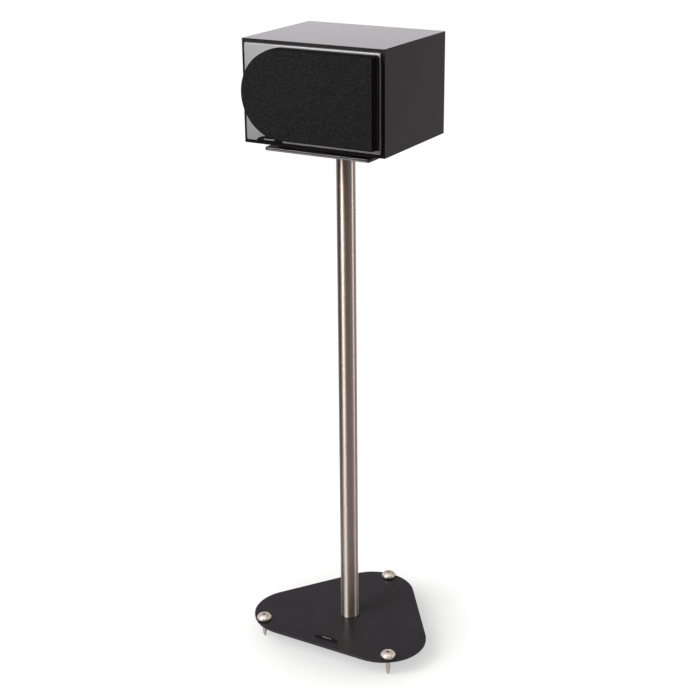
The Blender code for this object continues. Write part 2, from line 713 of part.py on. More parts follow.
def build_binding_post(colour, side, cap_material):
    """A threaded stem through the terminal plate, a clamp washer and a fluted cap that turns."""
    x = TERMINAL_X + side * POST_SPACING / 2
    stem = in_mm((0, 16.5), (2.5, 16.5), (2.5, 0), (5, 0), (5, -3), (2.5, -3), (2.5, -10), (0, -10))
    turned(f"post_stem_{colour}", stem, BRASS, at(x, CABINET_DEPTH, TERMINAL_Z), FACE_REAR, SMALL_ROUND_STEPS)
    washer = [circle(WASHER_RADIUS, steps=20), circle(POST_HOLE_RADIUS)]
    plate(f"post_washer_{colour}", washer, WASHER_THICKNESS, BRASS,
          at(x, CABINET_DEPTH + WASHER_START, TERMINAL_Z), FACE_REAR)
    flute_count = 10
    flute_depth = 0.7 * MM
    cap = [fluted_circle(CAP_RADIUS, flute_depth, flute_count), circle(POST_HOLE_RADIUS)]
    plate(f"post_cap_{colour}", cap, CAP_LENGTH, cap_material,
          at(x, CABINET_DEPTH + WASHER_START + WASHER_THICKNESS + GAP, TERMINAL_Z), FACE_REAR)


def build_crossover():
    """A small board on the cabinet's floor with its coil, capacitor and resistor."""
    thickness = 1.6 * MM
    board_bottom = WALL + 2.9 * MM
    board_depth = 92 * MM
    parts_base = board_bottom + thickness + GAP
    plate("crossover_board", [rounded_rectangle(96 * MM, 62 * MM, 2 * MM)], thickness, CIRCUIT_BOARD,
          at(0, board_depth, board_bottom))
    coil = in_mm((14, 14), (14, 0), (6, 0), (6, 14))
    turned("crossover_inductor", coil, COPPER, at(-28 * MM, board_depth, parts_base), UPRIGHT, 24, ring=True)
    capacitor_radius = 7 * MM
    capacitor_length = 30 * MM
    cylinder("crossover_capacitor", capacitor_radius, capacitor_length,
             at(28 * MM, board_depth + 20 * MM, parts_base + capacitor_radius), PLAQUE, FACE_FRONT, 20)
    resistor_side = 6 * MM
    box("crossover_resistor", (resistor_side, 26 * MM, resistor_side),
        at(5 * MM, board_depth, parts_base + resistor_side / 2), CERAMIC)


def build_wadding():
    """A soft pad under the cabinet's top board."""
    pad = box("damping_wadding", (106 * MM, 80 * MM, 36 * MM), at(-31 * MM, 101 * MM, 98 * MM), WADDING)
    bevel = pad.modifiers.new("Soft edges", "BEVEL")
    bevel.width = 8 * MM
    bevel.segments = 2


# ---------------------------------------------------------------- stand

def build_top_plate():
    outlines = [
        rounded_rectangle(TOP_PLATE_SIDE, TOP_PLATE_SIDE, TOP_PLATE_CORNER),
        circle(BOLT_HOLE_RADIUS),
    ]
    outlines += [circle(CABINET_BOLT_HOLE_RADIUS, side * CABINET_BOLT_X) for side in (-1, 1)]
    plate("top_plate", outlines, TOP_PLATE_THICKNESS, BLACK_STEEL, on_stand(0, 0, TOP_PLATE_BOTTOM))


def build_isolation_pads():
    number = 0
    for side_y in (-1, 1):
        for side_x in (-1, 1):
            number += 1
            cylinder(f"isolation_pad_{number}", PAD_RADIUS, PAD_HEIGHT - 2 * GAP,
                     on_stand(side_x * PAD_OFFSET, side_y * PAD_OFFSET, TOP_PLATE_TOP + GAP), RUBBER, steps=20)


def button_bolt(name, head_radius, head_height, shank_radius, length, place, rotation):
    """A low-headed bolt whose head rests on its location, with its shank behind."""
    profile = [
        (0.0, head_height), (head_radius * 0.6, head_height), (head_radius, head_height * 0.4),
        (head_radius, 0.0), (shank_radius, 0.0), (shank_radius, -length), (0.0, -length),
    ]
    turned(name, profile, STEEL, place, rotation, 12)


def build_cabinet_bolts():
    head_radius = 4.5 * MM
    head_height = 3 * MM
    reach = TOP_PLATE_THICKNESS + PAD_HEIGHT + CABINET_BOLT_HOLE_DEPTH - CUT_MARGIN
    for name, side in (("left", -1), ("right", 1)):
        button_bolt(f"cabinet_bolt_{name}", head_radius, head_height, CABINET_BOLT_RADIUS, reach,
                    on_stand(side * CABINET_BOLT_X, 0, TOP_PLATE_BOTTOM - GAP), FACE_DOWN)


def build_pillar():
    """The tube, a threaded plug in each end, and the bolts that hold the plates to the plugs."""
    inner_radius = PILLAR_RADIUS - PILLAR_WALL
    plug_radius = inner_radius - GAP
    plug_length = 26 * MM
    foot = BASE_TOP + GAP
    head = TOP_PLATE_BOTTOM - GAP
    tube = [(PILLAR_RADIUS, head - foot), (PILLAR_RADIUS, 0.0), (inner_radius, 0.0), (inner_radius, head - foot)]
    turned("pillar_tube", tube, BRUSHED_STEEL, on_stand(0, 0, foot), UPRIGHT, 32, ring=True)
    plug = [
        (plug_radius, plug_length), (plug_radius, 0.0), (BOLT_HOLE_RADIUS, 0.0),
        (BOLT_HOLE_RADIUS, plug_length),
    ]
    turned("pillar_plug_bottom", plug, STEEL, on_stand(0, 0, foot), UPRIGHT, 24, ring=True)
    turned("pillar_plug_top", plug, STEEL, on_stand(0, 0, head - plug_length), UPRIGHT, 24, ring=True)
    bolt_length = 22 * MM
    head_radius = 7 * MM
    head_height = 3.8 * MM
    button_bolt("pillar_bolt_top", head_radius, head_height, BOLT_RADIUS, bolt_length,
                on_stand(0, 0, TOP_PLATE_TOP + GAP), UPRIGHT)
    button_bolt("pillar_bolt_bottom", head_radius, head_height, BOLT_RADIUS, bolt_length,
                on_stand(0, 0, BASE_BOTTOM - GAP), FACE_DOWN)


def base_outline():
    """A triangle of three equal round corners joined by straight sides."""
    side_angle = math.degrees(math.atan2(BASE_FRONT_CORNER_X, BASE_REAR_CORNER_Y - BASE_FRONT_CORNER_Y))
    steps = 10
    points = arc(-BASE_FRONT_CORNER_X, BASE_FRONT_CORNER_Y, BASE_CORNER_RADIUS, 180 - side_angle, 270, steps)
    points += arc(BASE_FRONT_CORNER_X, BASE_FRONT_CORNER_Y, BASE_CORNER_RADIUS, -90, side_angle, steps)
    points += arc(0, BASE_REAR_CORNER_Y, BASE_CORNER_RADIUS, side_angle, 180 - side_angle, steps)
    return points


def build_base_plate():
    outlines = [base_outline(), circle(BOLT_HOLE_RADIUS)]
    outlines += [circle(SPIKE_HOLE_RADIUS, x, y) for x, y in SPIKE_OFFSETS.values()]
    plate("base_plate", outlines, BASE_THICKNESS, BLACK_STEEL, on_stand(0, 0, BASE_BOTTOM))


def build_base_plaque():
    plate("base_plaque", [low_arch(BASE_PLAQUE_WIDTH, BASE_PLAQUE_HEIGHT)], BASE_PLAQUE_THICKNESS, PLAQUE,
          on_stand(BASE_PLAQUE_X, BASE_PLAQUE_Y, BASE_TOP + GAP))


def build_spike(name, place):
    """A threaded spike that rounds off below the base plate to a small flat at its tip."""
    top = BASE_TOP + 5 * MM
    point = in_mm((2.7, 7.0), (1.9, 3.5), (0.6, 0.0), (0.0, 0.0))
    profile = [(0.0, top), (SPIKE_RADIUS, top), (SPIKE_RADIUS, 11 * MM), *point]
    turned(f"spike_{name}", profile, NICKEL, place, UPRIGHT, SMALL_ROUND_STEPS)


def build_spike_knob(name, place):
    """A domed thumb knob with scalloped sides, a short collar and a small socket on top."""
    profile = in_mm(
        (2.2, 9.0), (5.0, 8.7), (8.0, 7.4), (10.0, 5.2), (10.75, 3.4), (10.75, 2.3), (9.8, 1.5),
        (6.0, 1.5), (6.0, 0.3), (3.3, 0.3), (3.3, 5.3), (2.2, 5.3))
    knob = turned(f"spike_knob_{name}", profile, NICKEL, place, UPRIGHT, 18, ring=True)
    scallop_count = 6
    scallop_radius = 6 * MM
    scallop_circle = 15.9 * MM
    scallop_height = 10 * MM
    for number in range(scallop_count):
        angle = 2 * math.pi * number / scallop_count
        centre = (place[0] + scallop_circle * math.cos(angle),
                  place[1] + scallop_circle * math.sin(angle),
                  place[2] + CUT_MARGIN)
        combine(knob, cylinder("knob_scallop", scallop_radius, scallop_height, centre), "DIFFERENCE")


def build_feet():
    for name, (x, y) in SPIKE_OFFSETS.items():
        build_spike(name, on_stand(x, y, 0))
        build_spike_knob(name, on_stand(x, y, BASE_TOP))


# ---------------------------------------------------------------- the whole object

def build_speaker():
    build_cabinet()
    build_rear_panel()
    build_front_baffle()
    build_fascia_panel()
    build_fascia_plaque()
    build_grille_frame()
    build_grille_cloth()
    build_woofer_basket()
    build_woofer_gasket()
    build_woofer_surround()
    build_woofer_cone()
    build_woofer_dust_cap()
    build_woofer_voice_coil()
    build_woofer_spider()
    build_woofer_motor()
    build_woofer_screws()
    build_tweeter_faceplate()
    build_tweeter_diaphragm()
    build_tweeter_magnet()
    build_tweeter_housing()
    build_tweeter_screws()
    build_port_tube()
    build_terminal_plate()
    build_binding_post("red", 1, RED_PLASTIC)
    build_binding_post("black", -1, BLACK_PLASTIC)
    build_crossover()
    build_wadding()


def build_stand():
    build_top_plate()
    build_isolation_pads()
    build_cabinet_bolts()
    build_pillar()
    build_base_plate()
    build_base_plaque()
    build_feet()


build_speaker()
build_stand()
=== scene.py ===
import json
import math

import bmesh
import bpy
from mathutils import Euler, Matrix, Vector, noise


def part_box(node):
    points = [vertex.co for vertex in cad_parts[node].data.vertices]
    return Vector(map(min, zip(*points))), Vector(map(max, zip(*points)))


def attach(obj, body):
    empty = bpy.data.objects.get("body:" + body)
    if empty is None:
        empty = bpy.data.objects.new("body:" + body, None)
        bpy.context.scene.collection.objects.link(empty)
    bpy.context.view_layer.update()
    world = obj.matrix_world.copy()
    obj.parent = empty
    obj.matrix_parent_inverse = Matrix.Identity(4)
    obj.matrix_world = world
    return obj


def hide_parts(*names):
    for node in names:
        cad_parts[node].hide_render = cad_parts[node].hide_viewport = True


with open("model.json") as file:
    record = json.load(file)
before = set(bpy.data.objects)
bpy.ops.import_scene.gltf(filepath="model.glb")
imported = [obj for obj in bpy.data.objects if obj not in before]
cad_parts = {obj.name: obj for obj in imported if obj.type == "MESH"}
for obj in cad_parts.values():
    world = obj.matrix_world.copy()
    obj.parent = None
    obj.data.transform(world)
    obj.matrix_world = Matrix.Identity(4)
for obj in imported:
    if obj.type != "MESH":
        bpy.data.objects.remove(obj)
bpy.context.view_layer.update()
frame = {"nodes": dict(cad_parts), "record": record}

MM = 0.001
GAP = 0.3 * MM                          # between parts that fit together
FASCIA_INSET = 0.8 * MM                 # widens the black line around the silver panel
FASCIA_EDGE = 0.7 * MM
RIM_INSET = 0.2 * MM                    # of the grille's rim, inside the grille's whole outline
PEG_COLUMNS = (8 * MM, 84 * MM)
PEG_ROW = 47.4 * MM
PEG_HOLE_RADIUS = 2.9 * MM
TWEETER_SCREW_ROW = 40.3 * MM
SCREW_HOLE_RADIUS = 1.9 * MM
POST_HOLE_RADIUS = 2.8 * MM
PILLAR_WALL = 1.5 * MM
PLATE_HOLE_RADIUS = 4.3 * MM            # for the bolt in each end of the pillar
BASE_CORNER_RADIUS = 60.5 * MM
SPIKES = ("left", "right", "rear")
STAND_BLACK = (0.0225, 0.0198, 0.0234)

# Camera
CAMERA_PLACE = (0.88925, -1.56931, 1.12743)
CAMERA_TURN = (68.929, 0.454, 29.508)   # degrees: tilt up from straight down, roll, heading
CAMERA_LENS = 73.21
CAMERA_SENSOR = 36.0

# Light and backdrop
FLOOR_HALF_SIZE = 30.0
FLOOR_ALBEDO = 0.4
# the floor's glow is dimmer near the object than far away: a painted shadow around the stand
FLOOR_GLOW = (0.55, 0.80)               # near the object, and far away
PAINTED_SHADOW_REACH = (0.115, 0.206)
FLOOR_BOUNCE_NEAR_REACH = (0.3, 0.6)
FLOOR_BOUNCE_EDGE = (-0.9, 0.6)
FLOOR_BOUNCE_SKEW = 0.55                # turns that edge a little towards the bright side
FLOOR_BOUNCE_FRONT = (0.05, 0.042, 0.038)
FLOOR_BOUNCE_REAR = (0.64, 0.61, 0.64)
WORLD_BRIGHT_AZIMUTH = 210              # straight behind the object, as the camera sees it
WORLD_AROUND = (                        # from opposite that azimuth to the azimuth itself
    (0.0, (0.11, 0.080, 0.066)),
    (0.06, (0.10, 0.070, 0.058)),
    (0.11, (0.035, 0.028, 0.025)),
    (0.20, (0.035, 0.030, 0.028)),
    (0.35, (0.11, 0.09, 0.08)),
    (0.55, (0.12, 0.10, 0.09)),
    (0.68, (0.36, 0.335, 0.335)),
    (0.80, (1.17, 1.11, 1.17)),
    (1.0, (1.24, 1.18, 1.24)),
)
WORLD_HEIGHT = ((0.12, (0, 0, 0)), (0.5, (1, 1, 1)))
WORLD_OVERHEAD = ((0.45, (0.04, 0.036, 0.034)), (0.75, (0.2, 0.19, 0.18)), (0.92, (0.7, 0.68, 0.66)))
KEY_AZIMUTH = -25
KEY_ELEVATION = 35
KEY_SPREAD = 55
KEY_STRENGTH = 1.3
KEY_DISTANCE = 2.0
SOFTBOXES = {
    # azimuth, distance, height, width, tall, radiance, colour, lights surfaces
    "left_softbox": (-23, 1.2, 1.55, 0.54, 1.6, 7.2, (1, 1, 1), True),
    "front_fill": (26, 1.2, 1.35, 1.0, 1.5, 0.17, (1, 0.78, 0.62), False),
    "right_softbox": (111, 1.1, 0.9, 0.32, 1.4, 2.5, (1, 1, 1), False),
}


# ---- places, read from the CAD

def middle(node):
    low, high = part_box(node)
    return (low + high) / 2


def size(node):
    low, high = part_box(node)
    return high - low


def foot(node):
    """The middle of a node's underside."""
    return Vector((*middle(node).xy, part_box(node)[0].z))


BASE_LOW, BASE_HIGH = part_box("base_plate")
PILLAR_AXIS = middle("pillar_tube")
WOOFER_AXIS = middle("woofer_gasket")
TWEETER_AXIS = middle("tweeter_faceplate")
PORT_AXIS = middle("port_tube")
TERMINAL_CENTRE = middle("terminal_plate")
POST_SPACING = middle("post_stem_red").x - middle("post_stem_black").x
FASCIA_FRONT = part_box("fascia_panel")[0].y
CABINET_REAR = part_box("cabinet_shell")[1].y
GRILLE_AXIS_Z = middle("grille_cloth").z

RECORD = frame["record"]
SLOT_OF = {part["node"]: part["material_slot"] for part in RECORD["subparts"]}
BODY_OF = {node: body for body, nodes in RECORD["behaviour"]["bodies"].items() for node in nodes}

# A shape is drawn with its +Z forward, then turned to face the front, the rear or the floor
FACE_UP = Matrix.Identity(4)
FACE_FRONT = Matrix.Rotation(math.radians(90), 4, "X")
FACE_REAR = Matrix.Rotation(math.radians(-90), 4, "X")
FACE_DOWN = Matrix.Rotation(math.radians(180), 4, "X")


# ---- outlines

def in_mm(*points):
    """Points given in millimetres, as metres."""
    return [(a * MM, b * MM) for a, b in points]


def arc(centre_x, centre_y, radius, start, end, steps):
    """Points on an arc, from one angle in degrees to another."""
    angles = [math.radians(start + (end - start) * i / steps) for i in range(steps + 1)]
    return [(centre_x + radius * math.cos(a), centre_y + radius * math.sin(a)) for a in angles]


def circle(radius, centre_x=0.0, centre_y=0.0, steps=48):
    return arc(centre_x, centre_y, radius, 0, 360, steps)[:-1]


def rounded_rectangle(width, height, radius, centre_x=0.0, centre_y=0.0, steps=8):
    right = width / 2 - radius
    top = height / 2 - radius
    points = []
    for sign_x, sign_y, start in ((1, 1, 0), (-1, 1, 90), (-1, -1, 180), (1, -1, 270)):
        corner_x = centre_x + sign_x * right
        corner_y = centre_y + sign_y * top
        points += arc(corner_x, corner_y, radius, start, start + 90, steps)
    return points


def low_arch(width, height, steps=32):
    """Half an ellipse standing on its flat side."""
    angles = [math.pi * i / steps for i in range(steps + 1)]
    return [(width / 2 * math.cos(a), height * math.sin(a)) for a in angles]


# ---- making pieces

SMALLEST_FACE = 1e-14                   # an area in square metres


def add_piece(name, mesh, node, replaces=True, slot=None, crease=35, material=None):
    """A mesh in the row frame becomes a piece with the body of a CAD node, and stands in for it."""
    smooth = [face.use_smooth for face in mesh.polygons]
    mesh.set_sharp_from_angle(angle=math.radians(crease))
    mesh.polygons.foreach_set("use_smooth", smooth)
    slot = slot or SLOT_OF[node]
    mesh.materials.clear()
    mesh.materials.append(material or MATERIALS[slot])
    piece = bpy.data.objects.new(name, mesh)
    bpy.context.scene.collection.objects.link(piece)
    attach(piece, BODY_OF[node])
    if replaces:
        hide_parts(node)
    return piece


def place(mesh, location, turn=FACE_UP):
    mesh.transform(Matrix.Translation(location) @ turn)
    return mesh


def to_mesh(shape, name):
    mesh = bpy.data.meshes.new(name)
    shape.to_mesh(mesh)
    shape.free()
    return mesh


def finish_mesh(shape, name):
    bmesh.ops.remove_doubles(shape, verts=shape.verts, dist=0.001 * MM)
    bmesh.ops.recalc_face_normals(shape, faces=shape.faces)
    mesh = to_mesh(shape, name)
    mesh.shade_smooth()
    return mesh


def flatten_large_faces(mesh, long_side=4 * MM):
    """Shade the caps and the straight walls of a slab flat, so that its rounded edges stay crisp."""
    for face in mesh.polygons:
        corners = [mesh.vertices[i].co for i in face.vertices]
        spread = max((a.xy - b.xy).length for a in corners for b in corners)
        is_cap = abs(face.normal.z) > 0.999
        is_wall = abs(face.normal.z) < 0.01 and spread > long_side
        face.use_smooth = not (is_cap or is_wall)


def slab_mesh(name, outlines, thickness, edge, edge_steps=2):
    """A flat outline with holes, from Z 0 to its thickness, with rounded edges."""
    curve = bpy.data.curves.new(name, "CURVE")
    curve.dimensions = "2D"
    curve.fill_mode = "BOTH"
    curve.bevel_depth = edge
    curve.bevel_resolution = edge_steps
    curve.offset = -edge
    curve.extrude = thickness / 2 - edge
    for outline in outlines:
        spline = curve.splines.new("POLY")
        spline.points.add(len(outline) - 1)
        spline.use_cyclic_u = True
        for point, (x, y) in zip(spline.points, outline):
            point.co = (x, y, 0, 1)
    flat = bpy.data.objects.new(name + "_outline", curve)
    bpy.context.scene.collection.objects.link(flat)
    graph = bpy.context.evaluated_depsgraph_get()
    mesh = bpy.data.meshes.new_from_object(flat.evaluated_get(graph))
    bpy.data.objects.remove(flat, do_unlink=True)
    bpy.data.curves.remove(curve)
    shape = bmesh.new()
    shape.from_mesh(mesh)
    bpy.data.meshes.remove(mesh)
    bmesh.ops.translate(shape, verts=shape.verts, vec=(0, 0, thickness / 2))
    mesh = finish_mesh(shape, name)
    flatten_large_faces(mesh)
    return mesh


def add_slab(name, node, outlines, turn, edge, edge_steps=2, origin=None, **options):
    """A slab as thick as its node, its outlines drawn about an origin or else the middle of the node."""
    low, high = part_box(node)
    x, y, z = middle(node) if origin is None else origin
    if turn is FACE_UP:
        thickness = high.z - low.z
        start = (x, y, low.z)
    else:
        thickness = high.y - low.y
        start = (x, high.y if turn is FACE_FRONT else low.y, z)
    mesh = slab_mesh(name, outlines, thickness, edge, edge_steps)
    return add_piece(name, place(mesh, start, turn), node, **options)


def box_mesh(name, extent, centre):
    shape = bmesh.new()
    stretch = Matrix.Diagonal((*extent, 1.0))
    bmesh.ops.create_cube(shape, size=1.0, matrix=Matrix.Translation(centre) @ stretch)
    return to_mesh(shape, name)


def prism_mesh(name, radius, sides, low, high):
    """An upright prism on a regular outline."""
    shape = bmesh.new()
    bmesh.ops.create_cone(
        shape, cap_ends=True, segments=sides, radius1=radius, radius2=radius, depth=high - low,
        matrix=Matrix.Translation((0, 0, (low + high) / 2)))
    return to_mesh(shape, name)


def combined(mesh, tools, operation="DIFFERENCE"):
    """The mesh with the tools cut out of it, or joined to it."""
    items = []
    for part in (mesh, *tools):
        item = bpy.data.objects.new("tool", part)
        bpy.context.scene.collection.objects.link(item)
        items.append(item)
    for tool in items[1:]:
        modifier = items[0].modifiers.new("Combine", "BOOLEAN")
        modifier.operation = operation
        modifier.solver = "EXACT"
        modifier.object = tool
    graph = bpy.context.evaluated_depsgraph_get()
    result = bpy.data.meshes.new_from_object(items[0].evaluated_get(graph))
    for item in items:
        part = item.data
        bpy.data.objects.remove(item, do_unlink=True)
        bpy.data.meshes.remove(part)
    return result


def turned_mesh(name, profile, steps, ring=False, shape_radius=None):
    """A profile of (radius, height) points turned about Z. A ring's profile comes back to its start.

    shape_radius(angle, radius) may bend the outside away from a circle.
    """
    shape = bmesh.new()
    rows = []
    for step in range(steps):
        angle = 2 * math.pi * step / steps
        row = []
        for radius, height in profile:
            reach = shape_radius(angle, radius) if shape_radius else radius
            row.append(shape.verts.new((reach * math.cos(angle), reach * math.sin(angle), height)))
        rows.append(row)
    count = len(profile)
    spans = count if ring else count - 1
    for step in range(steps):
        near = rows[step]
        far = rows[(step + 1) % steps]
        for i in range(spans):
            j = (i + 1) % count
            shape.faces.new((near[i], far[i], far[j], near[j]))
    bmesh.ops.remove_doubles(shape, verts=shape.verts, dist=0.001 * MM)
    empty = [face for face in shape.faces if face.calc_area() < SMALLEST_FACE]
    bmesh.ops.delete(shape, geom=empty, context="FACES_ONLY")
    return finish_mesh(shape, name)


def loft_mesh(name, loops):
    """Join loops of equally many points side by side, and close the first and the last."""
    shape = bmesh.new()
    rows = [[shape.verts.new(point) for point in loop] for loop in loops]
    count = len(rows[0])
    for near, far in zip(rows, rows[1:]):
        for i in range(count):
            j = (i + 1) % count
            shape.faces.new((near[i], near[j], far[j], far[i]))
    shape.faces.new(rows[0])
    shape.faces.new(rows[-1])
    mesh = finish_mesh(shape, name)
    for face in mesh.polygons:
        face.use_smooth = len(face.vertices) == 4
    return mesh


def round_profile(points, radius, steps=3):
    """Round the inner corners of an open profile."""
    rounded = [points[0]]
    for before, corner, after in zip(points, points[1:], points[2:]):
        here = Vector(corner)
        back = Vector(before) - here
        ahead = Vector(after) - here
        reach = min(radius, back.length * 0.45, ahead.length * 0.45)
        start = here + back.normalized() * reach
        end = here + ahead.normalized() * reach
        for i in range(steps + 1):
            t = i / steps
            point = start.lerp(here, t).lerp(here.lerp(end, t), t)
            rounded.append((point.x, point.y))
    rounded.append(points[-1])
    return rounded


# ---- material helpers

class Nodes:
    """Adds nodes to the tree of a material or a world."""

    def __init__(self, owner, coordinates):
        owner.use_nodes = True
        self.tree = owner.node_tree
        self.place = self.add("ShaderNodeTexCoord").outputs[coordinates]

    def add(self, kind, **settings):
        node = self.tree.nodes.new(kind)
        for key, value in settings.items():
            setattr(node, key, value)
        return node

    def link(self, output, socket):
        self.tree.links.new(output, socket)

    def stretched(self, scale):
        """The object's coordinates, stretched by a scale for each axis."""
        node = self.add("ShaderNodeMapping")
        node.inputs["Scale"].default_value = scale
        self.link(self.place, node.inputs["Vector"])
        return node.outputs["Vector"]

    def noise(self, scale, detail=2.0, roughness=0.5, vector=None):
        node = self.add("ShaderNodeTexNoise")
        node.inputs["Scale"].default_value = scale
        node.inputs["Detail"].default_value = detail
        node.inputs["Roughness"].default_value = roughness
        self.link(vector or self.place, node.inputs["Vector"])
        return node.outputs["Fac"]

    def cells(self, scale):
        node = self.add("ShaderNodeTexVoronoi")
        node.inputs["Scale"].default_value = scale
        self.link(self.place, node.inputs["Vector"])
        return node.outputs["Distance"]

    def waves(self, axis, pitch):
        """Soft bands across an axis, a pitch apart."""
        node = self.add("ShaderNodeTexWave", bands_direction=axis)
        node.inputs["Scale"].default_value = 1 / (math.pi * pitch)
        self.link(self.place, node.inputs["Vector"])
        return node.outputs["Fac"]

    def maths(self, operation, a, b):
        node = self.add("ShaderNodeMath", operation=operation)
        for socket, value in zip(node.inputs, (a, b)):
            if isinstance(value, (int, float)):
                socket.default_value = value
            else:
                self.link(value, socket)
        return node.outputs[0]

    def weighted(self, first, second, share):
        """A share of one pattern, and the rest from another."""
        rest = self.maths("MULTIPLY", second, 1 - share)
        return self.maths("ADD", self.maths("MULTIPLY", first, share), rest)

    def spread(self, value, low, high, value_low=0.25, value_high=0.75):
        """A value, by default a pattern's, mapped to a range of numbers."""
        node = self.add("ShaderNodeMapRange")
        node.inputs["From Min"].default_value = value_low
        node.inputs["From Max"].default_value = value_high
        node.inputs["To Min"].default_value = low
        node.inputs["To Max"].default_value = high
        self.link(value, node.inputs["Value"])
        return node.outputs["Result"]

    def colours(self, value, *stops):
        """A colour ramp of (place, colour) stops."""
        node = self.add("ShaderNodeValToRGB")
        elements = node.color_ramp.elements
        while len(elements) < len(stops):
            elements.new(0.5)
        for element, (position, colour) in zip(elements, stops):
            element.position = position
            element.color = (*colour, 1.0)
        self.link(value, node.inputs["Fac"])
        return node.outputs["Color"]

    def split(self, vector):
        """The X, Y and Z of a vector, as outputs."""
        node = self.add("ShaderNodeSeparateXYZ")
        self.link(vector, node.inputs["Vector"])
        return node.outputs

    def for_camera_only(self, seen, unseen, output):
        """What the camera sees of the stage, and what lights the object and shows in its reflections."""
        mix = self.add("ShaderNodeMixShader")
        self.link(self.add("ShaderNodeLightPath").outputs["Is Camera Ray"], mix.inputs["Fac"])
        self.link(unseen, mix.inputs[1])
        self.link(seen, mix.inputs[2])
        self.link(mix.outputs["Shader"], self.tree.nodes[output].inputs["Surface"])


class Surface(Nodes):
    """A material and its nodes."""

    def __init__(self, name, **sockets):
        self.material = bpy.data.materials.new(name)
        super().__init__(self.material, "Object")
        self.shader = self.tree.nodes["Principled BSDF"]
        for socket, value in sockets.items():
            self.shader.inputs[socket.replace("_", " ")].default_value = value

    def set_colour(self, output):
        self.link(output, self.shader.inputs["Base Color"])

    def set_roughness(self, output):
        self.link(output, self.shader.inputs["Roughness"])

    def bump(self, height, distance):
        """A relief whose full height is the distance, in metres."""
        node = self.add("ShaderNodeBump")
        node.inputs["Distance"].default_value = distance
        node.inputs["Strength"].default_value = 1.0
        self.link(height, node.inputs["Height"])
        self.link(node.outputs["Normal"], self.shader.inputs["Normal"])


def tinted(colour, factor):
    return tuple(channel * factor for channel in colour)


def mottled(name, colour, roughness, variation, scale, relief, **sockets):
    """A surface with slight cloudiness in colour and roughness, and a fine relief of its own."""
    nodes = Surface(name, **sockets)
    cloud = nodes.noise(scale, 3)
    nodes.set_colour(nodes.colours(
        cloud, (0.3, tinted(colour, 1 - variation)), (0.7, tinted(colour, 1 + variation))))
    nodes.set_roughness(nodes.spread(cloud, roughness - 0.015, roughness + 0.015))
    grain_scale, depth = relief
    nodes.bump(nodes.noise(grain_scale, 2), depth)
    return nodes.material


# ---- materials

def cabinet_material():
    """Satin black lacquer over board, with faint orange peel."""
    return mottled("cabinet_satin_black", (0.0125, 0.0112, 0.0122), 0.14, 0.06, 35,
                   relief=(700, 0.000006), IOR=1.5)


def fascia_material():
    """Silver paint with fine metal flake, under a clear gloss lacquer."""
    nodes = Surface("fascia_silver_paint", Metallic=0.85, Coat_Weight=1.0, Coat_Roughness=0.04)
    cloud = nodes.noise(25, 2)
    tone = nodes.weighted(nodes.cells(1600), cloud, 0.5)
    nodes.set_colour(nodes.colours(tone, (0.25, (0.275, 0.275, 0.278)), (0.75, (0.345, 0.345, 0.349))))
    nodes.set_roughness(nodes.spread(cloud, 0.48, 0.54))
    nodes.bump(nodes.noise(1500, 2), 0.000006)
    return nodes.material


def weave_height(nodes, pitch):
    """Crossing threads: the mean of the waves along the three axes."""
    total = nodes.maths("ADD", nodes.waves("X", pitch), nodes.waves("Y", pitch))
    total = nodes.maths("ADD", total, nodes.waves("Z", pitch))
    return nodes.maths("DIVIDE", total, 3.0)


def grille_cloth_material():
    """Fine black knit: threads 0.8 mm apart, with slightly uneven tone."""
    nodes = Surface("grille_black_knit", Roughness=0.95, Specular_IOR_Level=0.05)
    threads = weave_height(nodes, 0.8 * MM)
    tone = nodes.weighted(threads, nodes.noise(950, 4, 0.7), 0.35)
    gap = (0.0003, 0.0003, 0.0003)
    thread = (0.0310, 0.0306, 0.0314)
    nodes.set_colour(nodes.colours(tone, (0.497, gap), (0.587, thread)))
    nodes.bump(threads, 0.18 * MM)
    return nodes.material


def brushed_steel_material():
    """Steel brushed around the tube, so that what it reflects is drawn out along it."""
    nodes = Surface("pillar_brushed_steel", Metallic=1.0, Anisotropic=1.0, Anisotropic_Rotation=0.25)
    lines = nodes.noise(1, 3, 0.6, nodes.stretched((30, 30, 5200)))
    tone = nodes.weighted(lines, nodes.noise(14, 2), 0.6)
    nodes.set_colour(nodes.colours(tone, (0.3, (0.60, 0.515, 0.445)), (0.7, (0.68, 0.590, 0.520))))
    nodes.set_roughness(nodes.spread(lines, 0.38, 0.42))
    nodes.bump(lines, 0.000004)
    tangent = nodes.add("ShaderNodeTangent", direction_type="RADIAL", axis="Z")
    nodes.link(tangent.outputs["Tangent"], nodes.shader.inputs["Tangent"])
    return nodes.material


def metal_material(name, colour, roughness, grain):
    """A plated or turned metal with slight tarnish."""
    return mottled(name, colour, roughness, 0.06, grain, relief=(900, 0.000006), Metallic=1.0)


def powder_coat_material():
    """Black powder coat with its fine orange peel."""
    return mottled("stand_powder_coat", STAND_BLACK, 0.31, 0.08, 45, relief=(1400, 0.00003), IOR=1.45)


